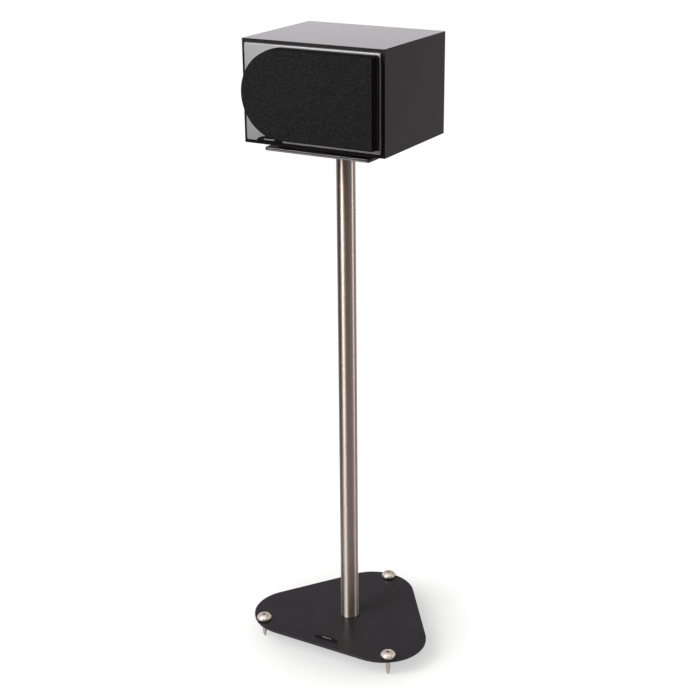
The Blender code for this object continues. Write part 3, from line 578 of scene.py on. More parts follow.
def painted_highlight_material(centre, half_depth, half_thickness):
    """The stand's powder coat on a plate about a centre.

    On the front and rear faces only, a bright bare-metal band along the top edge and another over the
    lower half stand in for the edge highlights: painted highlight.
    """
    nodes = Surface("stand_coat_painted_highlight_bands", IOR=1.45)
    offset = nodes.add("ShaderNodeVectorMath", operation="SUBTRACT")
    nodes.link(nodes.place, offset.inputs[0])
    offset.inputs[1].default_value = centre
    apart = nodes.split(offset.outputs["Vector"])
    along = nodes.maths("ABSOLUTE", apart["Y"], 0.0)
    at_face = nodes.maths("GREATER_THAN", along, half_depth - 0.7 * MM)
    top_band = nodes.maths("GREATER_THAN", apart["Z"], half_thickness - 0.45 * MM)
    low_band = nodes.maths("LESS_THAN", apart["Z"], -0.1 * MM)
    # painted highlight: these bands of bright metal stand in for the highlights along the plate's front
    # and rear edges
    painted_highlight_bands = nodes.maths("MULTIPLY", at_face, nodes.maths("MAXIMUM", top_band, low_band))
    roughness_streaks = nodes.noise(1, 2, 0.6, nodes.stretched((4000, 4000, 300)))
    nodes.set_colour(nodes.colours(painted_highlight_bands, (0.0, STAND_BLACK), (1.0, (0.46, 0.45, 0.45))))
    nodes.link(painted_highlight_bands, nodes.shader.inputs["Metallic"])
    nodes.set_roughness(nodes.spread(roughness_streaks, 0.32, 0.42))
    nodes.bump(nodes.noise(1400, 2), 0.02 * MM)
    return nodes.material


def moulded_plastic(name, colour, roughness, relief=(1800, 0.00002)):
    """Moulded plastic with a fine spark-eroded texture."""
    return mottled(name, colour, roughness, 0.10, 80, relief=relief, Specular_IOR_Level=0.12)


def fibre_material(name, dark, light, scale, relief, stretch=(1, 1, 1)):
    """Pressed or spun fibres, drawn out along one axis by the stretch."""
    nodes = Surface(name, Roughness=0.9)
    fibres = nodes.noise(scale, 6, 0.65, nodes.stretched(stretch))
    nodes.set_colour(nodes.colours(fibres, (0.3, dark), (0.7, light)))
    nodes.bump(fibres, relief)
    return nodes.material


def winding_material():
    """Enamelled copper wire wound side by side, 0.9 mm thick, its colour darker in the grooves between
    turns: painted shade.
    """
    nodes = Surface("copper_winding", Metallic=1.0)
    turns = nodes.waves("Z", 0.9 * MM)
    # painted shade: the colour darkens in the groove between turns, following the same waves as the
    # relief
    nodes.set_colour(nodes.colours(turns, (0.1, (0.30, 0.09, 0.03)), (0.7, (0.74, 0.33, 0.15))))
    nodes.set_roughness(nodes.spread(nodes.noise(300), 0.26, 0.4))
    nodes.bump(turns, 0.3 * MM)
    return nodes.material


def circuit_board_material():
    """Green solder mask with paler fibre glass showing in a faint weave."""
    nodes = Surface("circuit_board_green", Roughness=0.4)
    threads = weave_height(nodes, 1.2 * MM)
    tone = nodes.weighted(threads, nodes.noise(60, 3), 0.4)
    nodes.set_colour(nodes.colours(tone, (0.3, (0.012, 0.085, 0.032)), (0.7, (0.02, 0.13, 0.05))))
    nodes.bump(threads, 0.00003)
    return nodes.material


MATERIALS = {
    "cabinet_black": cabinet_material(),
    "fascia_silver": fascia_material(),
    "bare_board": fibre_material(
        "bare_fibreboard", (0.27, 0.17, 0.09), (0.42, 0.29, 0.17), 500, 0.00008),
    "black_plastic": moulded_plastic("moulded_black_plastic", (0.0035, 0.0035, 0.0037), 0.55),
    "grille_cloth": grille_cloth_material(),
    "basket_black": moulded_plastic("basket_black_paint", (0.016, 0.016, 0.017), 0.38),
    "zinc_steel": metal_material("zinc_plated_steel", (0.55, 0.55, 0.57), 0.36, 40),
    "fastener_steel": metal_material("fastener_steel", (0.50, 0.50, 0.52), 0.30, 220),
    "brushed_steel": brushed_steel_material(),
    "nickel": metal_material("satin_nickel", (0.90, 0.81, 0.73), 0.52, 160),
    "stand_black": powder_coat_material(),
    "rubber": moulded_plastic("black_rubber", (0.016, 0.016, 0.016), 0.72, (700, 0.00004)),
    "paper_cone": fibre_material(
        "paper_cone_pulp", (0.016, 0.016, 0.017), (0.045, 0.045, 0.048), 900, 0.00008),
    "spider_cloth": fibre_material(
        "spider_resin_cloth", (0.42, 0.28, 0.07), (0.66, 0.47, 0.16), 1400, 0.00008),
    "copper": winding_material(),
    "ferrite": mottled("ferrite_grey", (0.045, 0.045, 0.048), 0.62, 0.2, 120, relief=(1500, 0.00005)),
    "film": metal_material("aluminium_film", (0.72, 0.72, 0.74), 0.28, 300),
    "brass": metal_material("brass_post", (0.78, 0.57, 0.25), 0.24, 200),
    "red_plastic": mottled("red_plastic", (0.45, 0.012, 0.01), 0.32, 0.10, 150, relief=(1500, 0.00001)),
    "circuit_board": circuit_board_material(),
    "ceramic": mottled("ceramic_white", (0.68, 0.66, 0.60), 0.6, 0.08, 200, relief=(1200, 0.00004)),
    "wadding": fibre_material(
        "polyester_wadding", (0.62, 0.62, 0.60), (0.86, 0.86, 0.84), 260, 0.0008, (1, 1, 2.5)),
    "plaque": mottled(
        "plaque_gloss_black", (0.003, 0.003, 0.0033), 0.30, 0.10, 150, (900, 0.000005),
        Specular_IOR_Level=0.25),
}


def paint_cad_nodes():
    """Every CAD node takes the procedural material of its slot."""
    for node, slot in SLOT_OF.items():
        item = frame["nodes"][node]
        item.data.materials.clear()
        item.data.materials.append(MATERIALS[slot])


# ---- cabinet

def build_cabinet():
    """The board shell, with its outer edges eased."""
    shell = size("cabinet_shell")
    panel = size("rear_panel")
    outlines = [
        rounded_rectangle(shell.x, shell.z, 0.5 * MM, steps=4),
        rounded_rectangle(panel.x + 2 * GAP, panel.z + 2 * GAP, 0.3 * MM, steps=2),
    ]
    add_slab("cabinet_shell_eased", "cabinet_shell", outlines, FACE_FRONT, 0.25 * MM)


def build_rear_panel():
    """The rear board, let in flush, with openings for the port and the terminals."""
    centre = middle("rear_panel")
    panel = size("rear_panel")
    terminal = size("terminal_plate")
    overlap = 7 * MM
    port_hole_radius = 18 * MM
    outlines = [
        rounded_rectangle(panel.x, panel.z, 0.5 * MM, steps=3),
        circle(port_hole_radius, PORT_AXIS.x - centre.x, PORT_AXIS.z - centre.z),
        rounded_rectangle(terminal.x - 2 * overlap, terminal.z - 2 * overlap, 1 * MM,
                          TERMINAL_CENTRE.x - centre.x, TERMINAL_CENTRE.z - centre.z, 3),
    ]
    add_slab("rear_board", "rear_panel", outlines, FACE_FRONT, 0.4 * MM)


def build_fascia():
    """The silver panel, with the driver openings and the grille's peg holes."""
    panel = size("fascia_panel")
    tweeter = size("tweeter_faceplate")
    rise = GRILLE_AXIS_Z - middle("fascia_panel").z
    room = 0.6 * MM
    corner = 2 * MM
    outlines = [
        rounded_rectangle(panel.x - 2 * FASCIA_INSET, panel.z - 2 * FASCIA_INSET, corner, steps=6),
        circle(size("woofer_basket").z / 2 + room, WOOFER_AXIS.x, rise, 96),
        rounded_rectangle(tweeter.x + 2 * room, tweeter.z + 2 * room, corner, TWEETER_AXIS.x, rise, 4),
    ]
    for x in PEG_COLUMNS:
        for side in (-1, 1):
            outlines.append(circle(PEG_HOLE_RADIUS, x, rise + side * PEG_ROW, 24))
    add_slab("fascia_front", "fascia_panel", outlines, FACE_FRONT, FASCIA_EDGE, 5)


def build_plaque(node, turn):
    """A gloss black arch with a plain silver bar inlaid in it."""
    low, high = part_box(node)
    thickness, height = sorted((size(node).y, size(node).z))
    width = size(node).x
    foot = Vector((middle(node).x, low.y if turn is FACE_UP else high.y, low.z))
    add_slab(node + "_arch", node, [low_arch(width, height)], turn, 0.3 * MM, origin=foot)
    bar_length = width * 0.42
    bar_rise = height * 0.36
    outline = rounded_rectangle(bar_length, 1.5 * MM, 0.7 * MM, 0, bar_rise)
    bar = slab_mesh(node + "_bar", [outline], 0.25 * MM, 0.1 * MM)
    inlaid = 0.05 * MM
    place(bar, foot + turn @ Vector((0, 0, thickness - inlaid)), turn)
    add_piece(node + "_bar", bar, node, replaces=False, slot="fastener_steel")


# ---- grille

def grille_outline(inset, round_steps=72, corner_steps=8):
    """Half round on the left and square on the right, drawn in by the inset from the rim's outside."""
    half_height = size("grille_frame").z / 2
    radius = half_height + RIM_INSET - inset
    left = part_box("grille_frame")[0].x - RIM_INSET
    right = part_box("grille_frame")[1].x + RIM_INSET - inset
    centre = left + half_height + RIM_INSET
    corner = max(3.5 * MM - inset, 0.8 * MM)
    points = arc(right - corner, corner - radius, corner, -90, 0, corner_steps)
    points += arc(right - corner, radius - corner, corner, 0, 90, corner_steps)
    points += arc(centre, 0, radius, 90, 270, round_steps)
    return points


def build_grille_frame():
    """The moulded rim and wall, the divider and ribs behind the cloth, and four pegs with bosses."""
    low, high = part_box("grille_frame")
    rim = slab_mesh("rim", [grille_outline(RIM_INSET), grille_outline(4.8 * MM)], 5.7 * MM, 0.4 * MM)
    place(rim, (0, 0, GAP))
    wall = slab_mesh("wall", [grille_outline(3.2 * MM), grille_outline(5.1 * MM)], 8.4 * MM, 0.2 * MM)
    place(wall, (0, 0, 5 * MM))
    walls = 8.6 * MM
    height = high.z - low.z
    width = high.x - low.x
    round_centre = low.x + height / 2
    parts = [
        wall,
        box_mesh("divider", (6 * MM, height - walls, 10 * MM), (20 * MM, 0, 8 * MM)),
        box_mesh("upright_rib", (3 * MM, height - walls, 2.2 * MM), (round_centre, 0, 12 * MM)),
        box_mesh("level_rib", (width - walls, 3 * MM, 1.6 * MM), (0, 0, 11.9 * MM)),
    ]
    peg = in_mm((0, -8), (2.5, -8), (2.5, 0.6))
    boss = in_mm((7, 0.6), (7, 4), (0, 4))
    peg_profile = round_profile(peg + boss, 0.5 * MM)
    for x in PEG_COLUMNS:
        for side in (-1, 1):
            parts.append(place(turned_mesh("peg", peg_profile, 32), (x, side * PEG_ROW, 0)))
    mesh = combined(rim, parts, "UNION")
    mesh.shade_smooth()
    flatten_large_faces(mesh)
    place(mesh, (0, FASCIA_FRONT, GRILLE_AXIS_Z), FACE_FRONT)
    add_piece("grille_rim", mesh, "grille_frame", crease=30)


def build_grille_cloth():
    """Knitted cloth pulled over the front and sides of the grille frame.

    Its outline is lofted through (distance forward, inset) pairs.
    """
    inner_side = in_mm((6.3, 1.1), (10.0, 1.5), (13.2, 1.9), (14.0, 2.5), (14.2, 3.6), (14.2, 6.0))
    outer_side = in_mm((6.2, 0.45), (9.0, 0.75), (12.0, 1.1), (13.9, 1.35))
    shoulder = [(forward * MM, inset * MM) for forward, inset in arc(13.9, 2.45, 1.1, 270, 360, 5)[1:]]
    loops = []
    for forward, inset in reversed(inner_side):
        loops.append([(x, y, forward) for x, y in grille_outline(inset)])
    for forward, inset in outer_side + shoulder + in_mm((15.0, 6.0)):
        loops.append([(x, y, forward) for x, y in grille_outline(inset)])
    mesh = loft_mesh("grille_knit", loops)
    place(mesh, (0, FASCIA_FRONT, GRILLE_AXIS_Z), FACE_FRONT)
    cloth = add_piece("grille_knit", mesh, "grille_cloth", crease=60)


# ---- drivers

def add_woofer_part(name, mesh, node):
    """Put a driver part on the driver's axis, its heights measured from the silver panel."""
    axis = Vector((WOOFER_AXIS.x, FASCIA_FRONT, GRILLE_AXIS_Z))
    add_piece(name, place(mesh, axis, FACE_FRONT), node)


def build_basket():
    """The cast basket, with four windows and four screw holes."""
    profile = round_profile(in_mm(
        (43.6, -0.9), (43.6, -0.3), (52, -0.3), (52, -1.8), (45.2, -1.8), (44.2, -10), (33.8, -28),
        (31, -31.5), (31, -36), (14.5, -36), (14.5, -34.5), (29, -34.5), (29, -28), (32.2, -28),
        (42.6, -9.8), (43.6, -0.9)), 0.3 * MM)[:-1]
    long = 100 * MM
    wide = 22 * MM
    tall = 15 * MM
    height = -19 * MM
    tools = [
        box_mesh("window", (long, wide, tall), (0, 0, height)),
        box_mesh("window", (wide, long, tall), (0, 0, height)),
    ]
    for number in (1, 2, 3, 4):
        screw = middle(f"woofer_screw_{number}")
        hole = prism_mesh("hole", SCREW_HOLE_RADIUS, 24, -6 * MM, 3 * MM)
        tools.append(place(hole, (screw.x - WOOFER_AXIS.x, screw.z - GRILLE_AXIS_Z, 0)))
    basket = turned_mesh("basket", profile, 96, ring=True)
    add_woofer_part("basket_frame", combined(basket, tools), "woofer_basket")


def build_surround():
    """The rubber roll between the basket and the cone, with a flat lip on each side."""
    roll_centre = 40.7 * MM
    roll_base = 0.3 * MM
    inner = arc(roll_centre, roll_base, 3.1 * MM, 0, 180, 14)
    outer = arc(roll_centre, roll_base, 3.7 * MM, 180, 0, 14)
    profile = in_mm((46.3, 0.6), (46.3, 0.0), (44.3, 0.0)) + inner[:-1]
    profile += in_mm((37.5, 0.0), (37.1, 0.0), (37.1, 0.6)) + outer[1:-1] + in_mm((44.5, 0.6))
    mesh = turned_mesh("roll_surround", profile, 96, ring=True)
    add_woofer_part("roll_surround", mesh, "woofer_surround")


def build_cone():
    """The pulp cone, slightly curved from its edge to its neck."""
    edge_radius = 36.8 * MM
    reach = 24.1 * MM
    edge_height = 0.6 * MM
    fall = 15.8 * MM
    bow = 1.4 * MM
    thickness = 0.8 * MM
    steps = 14

    def front_height(radius):
        share = (edge_radius - radius) / reach
        return edge_height - fall * share - bow * math.sin(math.pi * share)

    radii = [edge_radius - reach * i / steps for i in range(steps + 1)]
    front = [(radius, front_height(radius)) for radius in reversed(radii)]
    back = [(radius, front_height(radius) - thickness) for radius in radii]
    add_woofer_part("pulp_cone", turned_mesh("pulp_cone", front + back, 96, ring=True), "woofer_cone")


def build_dust_cap():
    """A thin dome over the cone's neck."""
    radius = 23.3 * MM
    thickness = 0.6 * MM
    centre = -8.0 * MM - radius
    rim_angle = 50.6
    outer = arc(0, centre, radius, 90, rim_angle, 12)
    inner = arc(0, centre, radius - thickness, rim_angle, 90, 12)
    profile = [(0.0, outer[0][1])] + outer[1:] + inner[:-1] + [(0.0, inner[-1][1])]
    add_woofer_part("dust_cap", turned_mesh("dust_cap", profile, 72), "woofer_dust_cap")


def build_tweeter():
    """The tweeter's face plate, with its five rounded slots."""
    plate = size("tweeter_faceplate")
    slot_pitch = 11 * MM
    outlines = [rounded_rectangle(plate.x, plate.z, 1.8 * MM, steps=6)]
    for number in (-2, -1, 0, 1, 2):
        outlines.append(rounded_rectangle(36 * MM, 6 * MM, 2 * MM, 0, number * slot_pitch, 6))
    outlines += [circle(SCREW_HOLE_RADIUS, 0, side * TWEETER_SCREW_ROW, 24) for side in (-1, 1)]
    add_slab("tweeter_face", "tweeter_faceplate", outlines, FACE_FRONT, 0.6 * MM, 3)


def screw_mesh(name):
    """A pan-head screw with a cross recess, its head resting on Z 0."""
    head = in_mm((0, 1.7), (1.0, 1.65), (1.7, 1.35), (2.2, 0.85), (2.4, 0.25), (2.35, 0.0))
    shank = in_mm((1.45, 0.0), (1.45, -11), (0, -13))
    slots = [
        box_mesh("slot", (2.8 * MM, 0.6 * MM, 1.8 * MM), (0, 0, 1.7 * MM)),
        box_mesh("slot", (0.6 * MM, 2.8 * MM, 1.8 * MM), (0, 0, 1.7 * MM)),
    ]
    mesh = combined(turned_mesh(name, head + shank, 36), slots)
    mesh.name = name
    return mesh


def build_screws():
    screws = {f"basket_screw_{number}": f"woofer_screw_{number}" for number in (1, 2, 3, 4)}
    screws.update({f"tweeter_face_screw_{side}": f"tweeter_screw_{side}" for side in ("upper", "lower")})
    for name, node in screws.items():
        location = (middle(node).x, FASCIA_FRONT, middle(node).z)
        add_piece(name, place(screw_mesh(node), location, FACE_FRONT), node)


# ---- rear fittings and inside

def build_port():
    """The flared port tube, its flange rounded."""
    flare = arc(19.5 * MM, -2.2 * MM, 4.5 * MM, 180, 90, 10)
    flange = in_mm((19.5, 2.3), (24.0, 2.3), (24.0, 0.3), (17.6, 0.3))
    profile = in_mm((15.0, -70.0)) + flare + round_profile(flange, 0.9 * MM, 4)[1:]
    profile += in_mm((17.6, -70.0))
    mesh = turned_mesh("port_flare", list(reversed(profile)), 72, ring=True)
    place(mesh, (PORT_AXIS.x, CABINET_REAR, PORT_AXIS.z), FACE_REAR)
    add_piece("port_flare", mesh, "port_tube")


def fluted_circle(radius, depth, flutes, steps_each=10):
    """A circle with shallow grip flutes."""
    points = []
    for i in range(flutes * steps_each):
        angle = 2 * math.pi * i / (flutes * steps_each)
        reach = radius - depth * (1 - math.cos(flutes * angle)) / 2
        points.append((reach * math.cos(angle), reach * math.sin(angle)))
    return points


def build_terminal_plate():
    plate = size("terminal_plate")
    outlines = [rounded_rectangle(plate.x, plate.z, 3.5 * MM)]
    outlines += [circle(POST_HOLE_RADIUS, side * POST_SPACING / 2, 0, 32) for side in (-1, 1)]
    add_slab("terminal_face", "terminal_plate", outlines, FACE_REAR, 0.7 * MM, 3)


def stem_profile():
    """A threaded stem with a collar, in millimetres as (radius, height)."""
    turns = 22
    pitch = 0.5
    crest = 2.5
    root = 2.25
    top = 16.0
    points = [(0, 16.5), (2.1, 16.5)]
    for turn in range(turns):
        points += [(crest, top - turn * pitch), (root, top - pitch / 2 - turn * pitch)]
    points += [(2.5, 5), (2.5, 0), (5, 0), (5, -3), (2.5, -3), (2.5, -10), (0, -10)]
    return in_mm(*points)


def build_posts():
    """The two binding posts: threaded stem, clamp washer and fluted cap."""
    hole = circle(POST_HOLE_RADIUS, steps=32)
    washer = [circle(6 * MM, steps=64), hole]
    cap = [fluted_circle(6.8 * MM, 0.7 * MM, 10), hole]
    for colour in ("red", "black"):
        node = f"post_stem_{colour}"
        mesh = turned_mesh("stem", stem_profile(), 40)
        place(mesh, (middle(node).x, CABINET_REAR, middle(node).z), FACE_REAR)
        add_piece(f"stem_threaded_{colour}", mesh, node, crease=25)
        add_slab(f"clamp_washer_{colour}", f"post_washer_{colour}", washer, FACE_REAR, 0.4 * MM)
        add_slab(f"fluted_cap_{colour}", f"post_cap_{colour}", cap, FACE_REAR, 0.9 * MM, 4, crease=50)


def build_wadding():
    """A lumpy fibre pad: a crowned pillow whose faces are pushed in and out by noise."""
    centre = middle("damping_wadding")
    half = size("damping_wadding") / 2
    shape = bmesh.new()
    bmesh.ops.create_cube(shape, size=2.0)
    bmesh.ops.subdivide_edges(shape, edges=shape.edges, cuts=29, use_grid_fill=True)
    squareness = 4.5
    fullness = 0.93
    lumpiness = 0.055
    for vert in shape.verts:
        norm = sum(abs(part) ** squareness for part in vert.co) ** (1 / squareness)
        point = vert.co / norm
        spot = Vector((point.x * half.x, point.y * half.y, point.z * half.z))
        lump = noise.noise(spot * 55) + 0.5 * noise.noise(spot * 140) + 0.25 * noise.noise(spot * 320)
        vert.co = centre + spot * (fullness + lumpiness * max(-1.0, min(1.0, lump)))
    mesh = finish_mesh(shape, "fibre_pad")
    pad = add_piece("fibre_pad", mesh, "damping_wadding", crease=180)


# ---- stand

def build_pillar():
    """The brushed tube, with its ends slightly chamfered."""
    outer = size("pillar_tube").x / 2
    inner = outer - PILLAR_WALL
    length = size("pillar_tube").z
    edge = 0.3 * MM
    profile = [
        (inner, length), (outer - edge, length), (outer, length - edge), (outer, edge),
        (outer - edge, 0.0), (inner, 0.0),
    ]
    mesh = turned_mesh("pillar_brushed", profile, 128, ring=True)
    add_piece("pillar_brushed", place(mesh, foot("pillar_tube")), "pillar_tube")


def base_outline(steps=40):
    """A triangle of three equal round corners joined by straight sides, about the pillar's axis."""
    radius = BASE_CORNER_RADIUS
    front_x = BASE_HIGH.x - radius
    front_y = BASE_LOW.y + radius - PILLAR_AXIS.y
    rear_y = BASE_HIGH.y - radius - PILLAR_AXIS.y
    side_angle = math.degrees(math.atan2(front_x, rear_y - front_y))
    points = arc(-front_x, front_y, radius, 180 - side_angle, 270, steps)
    points += arc(front_x, front_y, radius, -90, side_angle, steps)
    points += arc(0, rear_y, radius, side_angle, 180 - side_angle, steps)
    return points


def build_base_plate():
    spike_hole_radius = 3.3 * MM
    outlines = [base_outline(), circle(PLATE_HOLE_RADIUS)]
    for name in SPIKES:
        axis = middle(f"spike_{name}")
        outlines.append(circle(spike_hole_radius, axis.x - PILLAR_AXIS.x, axis.y - PILLAR_AXIS.y, 24))
    add_slab("base_plate_coated", "base_plate", outlines, FACE_UP, 0.5 * MM, origin=PILLAR_AXIS)


def build_top_plate():
    plate = size("top_plate")
    bolt_x = middle("cabinet_bolt_right").x
    bolt_hole_radius = 2.7 * MM
    outlines = [rounded_rectangle(plate.x, plate.y, 4 * MM), circle(PLATE_HOLE_RADIUS)]
    outlines += [circle(bolt_hole_radius, side * bolt_x, 0, 24) for side in (-1, 1)]
    # the plate's front and rear faces carry bands of painted highlight
    material = painted_highlight_material(middle("top_plate"), plate.y / 2, plate.z / 2)
    add_slab("top_plate_coated", "top_plate", outlines, FACE_UP, 0.7 * MM, 3, PILLAR_AXIS,
             material=material)


def bolt_mesh(node, head_radius, head_height, socket, shank_radius, steps=48):
    """A low round-headed bolt with a hexagon socket, its head resting on Z 0."""
    length = size(node).z - head_height
    profile = round_profile([
        (0.0, head_height), (head_radius * 0.6, head_height), (head_radius, head_height * 0.4),
        (head_radius, 0.0), (shank_radius, 0.0), (shank_radius, -length), (0.0, -length)], 0.6 * MM)
    hexagon = prism_mesh("socket", socket, 6, head_height * 0.35, head_height + 1 * MM)
    return combined(turned_mesh(node + "_turned", profile, steps), [hexagon])


def build_bolts():
    """The two bolts into the cabinet from below, and the bolt in each end of the pillar."""
    small = (4.5 * MM, 3 * MM, 1.7 * MM, 2.4 * MM)
    large = (7 * MM, 3.8 * MM, 2.9 * MM, 4 * MM)
    bolts = (
        ("socket_bolt_left", "cabinet_bolt_left", small, FACE_DOWN),
        ("socket_bolt_right", "cabinet_bolt_right", small, FACE_DOWN),
        ("socket_bolt_bottom", "pillar_bolt_bottom", large, FACE_DOWN),
        ("socket_bolt_top", "pillar_bolt_top", large, FACE_UP),
    )
    for name, node, sizes, turn in bolts:
        low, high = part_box(node)
        head_height = sizes[1]
        seat = low.z + head_height if turn is FACE_DOWN else high.z - head_height
        location = (middle(node).x, middle(node).y, seat)
        add_piece(name, place(bolt_mesh(node, *sizes), location, turn), node)


def build_pads():
    waist = 0.4 * MM
    for number in (1, 2, 3, 4):
        node = f"isolation_pad_{number}"
        radius = size(node).x / 2
        height = size(node).z
        profile = round_profile(
            [(0.0, height), (radius, height), (radius - waist, height / 2), (radius, 0.0), (0.0, 0.0)],
            0.6 * MM)
        mesh = turned_mesh(f"pad_{number}", profile, 48)
        add_piece(f"pad_{number}", place(mesh, foot(node)), node)


def scalloped(count, depth):
    """Bends the side of a knob into shallow scallops."""
    start = 5 * MM
    fade = 3.5 * MM
    sharpness = 1.5

    def reach(angle, radius):
        share = min(1.0, max(0.0, (radius - start) / fade))
        return radius - depth * share * ((1 + math.cos(count * angle)) / 2) ** sharpness

    return reach


def spike_profile(radius, length):
    """A spike with a chamfered top, that rounds off below to a small flat at its tip."""
    edge = 0.5 * MM
    shank = [(0.0, length), (radius - edge, length), (radius, length - edge)]
    shank += in_mm((3.0, 11.0))
    point = in_mm((2.94, 9.5), (2.8, 8.0), (2.58, 6.5), (2.25, 5.0), (1.8, 3.5), (1.25, 1.8), (0.6, 0.2))
    return shank + point + in_mm((0.4, 0.0), (0.0, 0.0))


def knob_profile():
    """A domed knob with a socket in its top and a collar below, above the base plate."""
    socket = in_mm((0.0, 5.8), (2.1, 5.8))
    dome = in_mm((2.1, 9.0), (3.4, 8.95), (6.0, 8.4), (8.4, 7.1))
    rim = in_mm((10.0, 5.3), (10.6, 3.6), (10.5, 2.4), (9.6, 1.6))
    collar = in_mm((6.0, 1.5), (6.0, 0.3), (3.2, 0.3), (3.2, 5.4), (0.0, 5.4))
    return socket[:1] + round_profile(socket[1:] + dome + rim + collar, 0.5 * MM, 3)


def build_feet():
    """Pointed spikes through the base plate, each under a scalloped thumb knob, with a black set screw
    in the knob's socket that stands in for the shade down the socket: painted shade.
    """
    # painted shade: the black set screw fills each knob's socket so that the socket reads as a dark hole
    socket_shade_black = metal_material("socket_shade_black_steel", (0.03, 0.03, 0.032), 0.4, 300)
    screw_base = 5.85 * MM
    screw_profile = in_mm((0.0, 2.6), (1.7, 2.6), (2.0, 2.3), (2.0, 0.0), (0.0, 0.0))
    knob = knob_profile()
    for name in SPIKES:
        spike_node = f"spike_{name}"
        knob_node = f"spike_knob_{name}"
        axis = middle(spike_node)
        spike = spike_profile(size(spike_node).x / 2, size(spike_node).z)
        mesh = turned_mesh(f"foot_spike_{name}", spike, 48)
        add_piece(f"foot_spike_{name}", place(mesh, foot(spike_node)), spike_node, crease=20)
        mesh = turned_mesh(f"foot_knob_{name}", knob, 120, shape_radius=scalloped(6, 0.5 * MM))
        place(mesh, (axis.x, axis.y, BASE_HIGH.z))
        add_piece(f"foot_knob_{name}", mesh, knob_node, crease=45)
        hexagon = prism_mesh("set_screw_socket", 1.1 * MM, 6, 0.8 * MM, 3 * MM)
        mesh = combined(turned_mesh(f"foot_socket_shade_screw_{name}", screw_profile, 32), [hexagon])
        place(mesh, (axis.x, axis.y, BASE_HIGH.z + screw_base))
        add_piece(f"foot_socket_shade_screw_{name}", mesh, knob_node, material=socket_shade_black)


# ---- stage, light and camera

def build_floor():
    """White paper that glows a little for the camera, less near the object as a painted shadow, and only
    reflects dimly onto the object.
    """
    shape = bmesh.new()
    bmesh.ops.create_grid(shape, x_segments=1, y_segments=1, size=FLOOR_HALF_SIZE)
    mesh = to_mesh(shape, "floor")
    floor = bpy.data.objects.new("floor", mesh)
    bpy.context.scene.collection.objects.link(floor)
    nodes = Surface("floor_white", Roughness=1.0, Specular_IOR_Level=0.0,
                  Base_Color=(FLOOR_ALBEDO, FLOOR_ALBEDO, FLOOR_ALBEDO, 1.0),
                  Emission_Color=(1.0, 1.0, 1.0, 1.0))
    apart = nodes.split(nodes.place)
    away = nodes.add("ShaderNodeVectorMath", operation="LENGTH")
    nodes.link(nodes.place, away.inputs["Vector"])
    # painted shadow: the glow is dimmer within the reach around the stand
    glow_with_painted_shadow = nodes.spread(away.outputs["Value"], *FLOOR_GLOW, *PAINTED_SHADOW_REACH)
    nodes.link(glow_with_painted_shadow, nodes.shader.inputs["Emission Strength"])
    skew = nodes.maths("MULTIPLY", apart["X"], FLOOR_BOUNCE_SKEW)
    across = nodes.maths("ADD", apart["Y"], skew)
    behind = nodes.spread(across, 0.0, 1.0, *FLOOR_BOUNCE_EDGE)
    near = nodes.spread(away.outputs["Value"], 1.0, 0.0, *FLOOR_BOUNCE_NEAR_REACH)
    bounce = nodes.maths("MAXIMUM", behind, near)
    bounce_colour = nodes.colours(bounce, (0.0, FLOOR_BOUNCE_FRONT), (1.0, FLOOR_BOUNCE_REAR))
    dim = nodes.add("ShaderNodeBsdfDiffuse")
    nodes.link(bounce_colour, dim.inputs["Color"])
    nodes.for_camera_only(nodes.shader.outputs["BSDF"], dim.outputs["BSDF"], "Material Output")
    mesh.materials.append(nodes.material)


def build_world():
    """A studio that is bright low down behind the object and overhead, and dim and warm elsewhere."""
    world = bpy.data.worlds.new("studio")
    bpy.context.scene.world = world
    nodes = Nodes(world, "Generated")
    rise = nodes.split(nodes.place)["Z"]
    angle = math.radians(WORLD_BRIGHT_AZIMUTH)
    towards = nodes.add("ShaderNodeVectorMath", operation="DOT_PRODUCT")
    nodes.link(nodes.place, towards.inputs[0])
    towards.inputs[1].default_value = (math.sin(angle), -math.cos(angle), 0.0)
    facing = nodes.spread(towards.outputs["Value"], 0.0, 1.0, -1.0, 1.0)
    mix = nodes.add("ShaderNodeMix", data_type="RGBA")
    nodes.link(nodes.colours(rise, *WORLD_HEIGHT), mix.inputs["Factor"])
    nodes.link(nodes.colours(facing, *WORLD_AROUND), mix.inputs["A"])
    nodes.link(nodes.colours(rise, *WORLD_OVERHEAD), mix.inputs["B"])
    studio = nodes.tree.nodes["Background"]
    nodes.link(mix.outputs["Result"], studio.inputs["Color"])
    white = nodes.add("ShaderNodeBackground")
    white.inputs["Color"].default_value = (1.0, 1.0, 1.0, 1.0)
    nodes.for_camera_only(white.outputs["Background"], studio.outputs["Background"], "World Output")


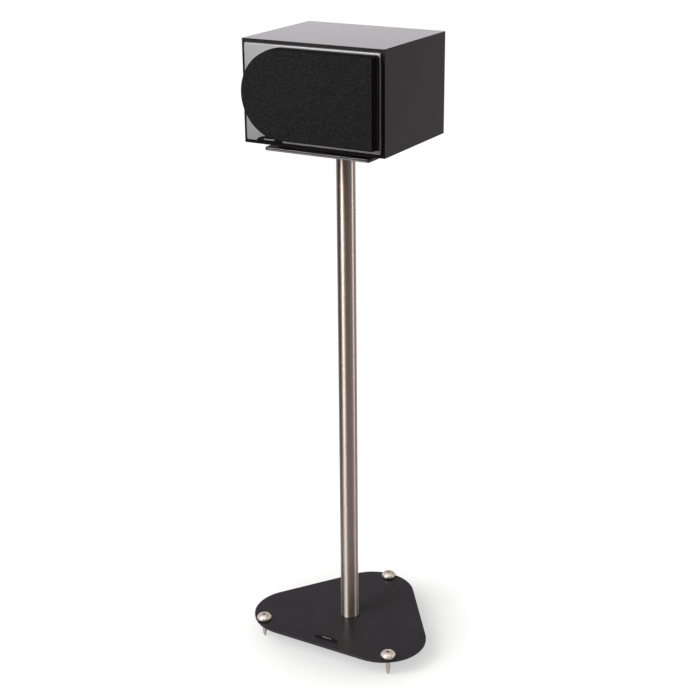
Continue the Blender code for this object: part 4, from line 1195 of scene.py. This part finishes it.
def aim(item, azimuth, distance, height, target):
    """Put a light at an azimuth from the front, turned to a point, unseen by the camera."""
    angle = math.radians(azimuth)
    location = Vector((math.sin(angle) * distance, -math.cos(angle) * distance, height))
    item.location = location
    item.rotation_mode = "QUATERNION"
    item.rotation_quaternion = (Vector(target) - location).to_track_quat("-Z", "Y")
    item.visible_camera = False
    bpy.context.scene.collection.objects.link(item)


def add_softbox(name, azimuth, distance, height, width, tall, radiance, colour, lights_surfaces):
    """An upright softbox. One that doesn't light surfaces shows only in glossy reflections."""
    light = bpy.data.lights.new(name, "AREA")
    light.shape = "RECTANGLE"
    light.size = width
    light.size_y = tall
    light.color = colour
    light.energy = radiance * math.pi * width * tall
    item = bpy.data.objects.new(name, light)
    item.visible_diffuse = lights_surfaces
    aim(item, azimuth, distance, height, (0, 0, height))


def build_lights():
    for name, facts in SOFTBOXES.items():
        add_softbox(name, *facts)
    key = bpy.data.lights.new("key_light", "SUN")
    key.angle = math.radians(KEY_SPREAD)
    key.energy = KEY_STRENGTH
    height = KEY_DISTANCE * math.tan(math.radians(KEY_ELEVATION))
    aim(bpy.data.objects.new("key_light", key), KEY_AZIMUTH, KEY_DISTANCE, height, (0, 0, 0))


def build_camera():
    camera = bpy.data.objects.new("camera", bpy.data.cameras.new("camera"))
    camera.data.lens = CAMERA_LENS
    camera.data.sensor_width = CAMERA_SENSOR
    turn = Euler([math.radians(angle) for angle in CAMERA_TURN]).to_matrix().to_4x4()
    camera.matrix_world = Matrix.Translation(CAMERA_PLACE) @ turn
    bpy.context.scene.collection.objects.link(camera)
    bpy.context.scene.camera = camera


# ---- the whole scene

bpy.context.scene.view_settings.view_transform = "Standard"
paint_cad_nodes()
build_cabinet()
build_rear_panel()
build_fascia()
build_plaque("fascia_plaque", FACE_FRONT)
build_plaque("base_plaque", FACE_UP)
build_grille_frame()
build_grille_cloth()
build_basket()
build_surround()
build_cone()
build_dust_cap()
build_tweeter()
build_screws()
build_port()
build_terminal_plate()
build_posts()
build_wadding()
build_pillar()
build_base_plate()
build_top_plate()
build_bolts()
build_pads()
build_feet()
build_floor()
build_world()
build_lights()
build_camera()
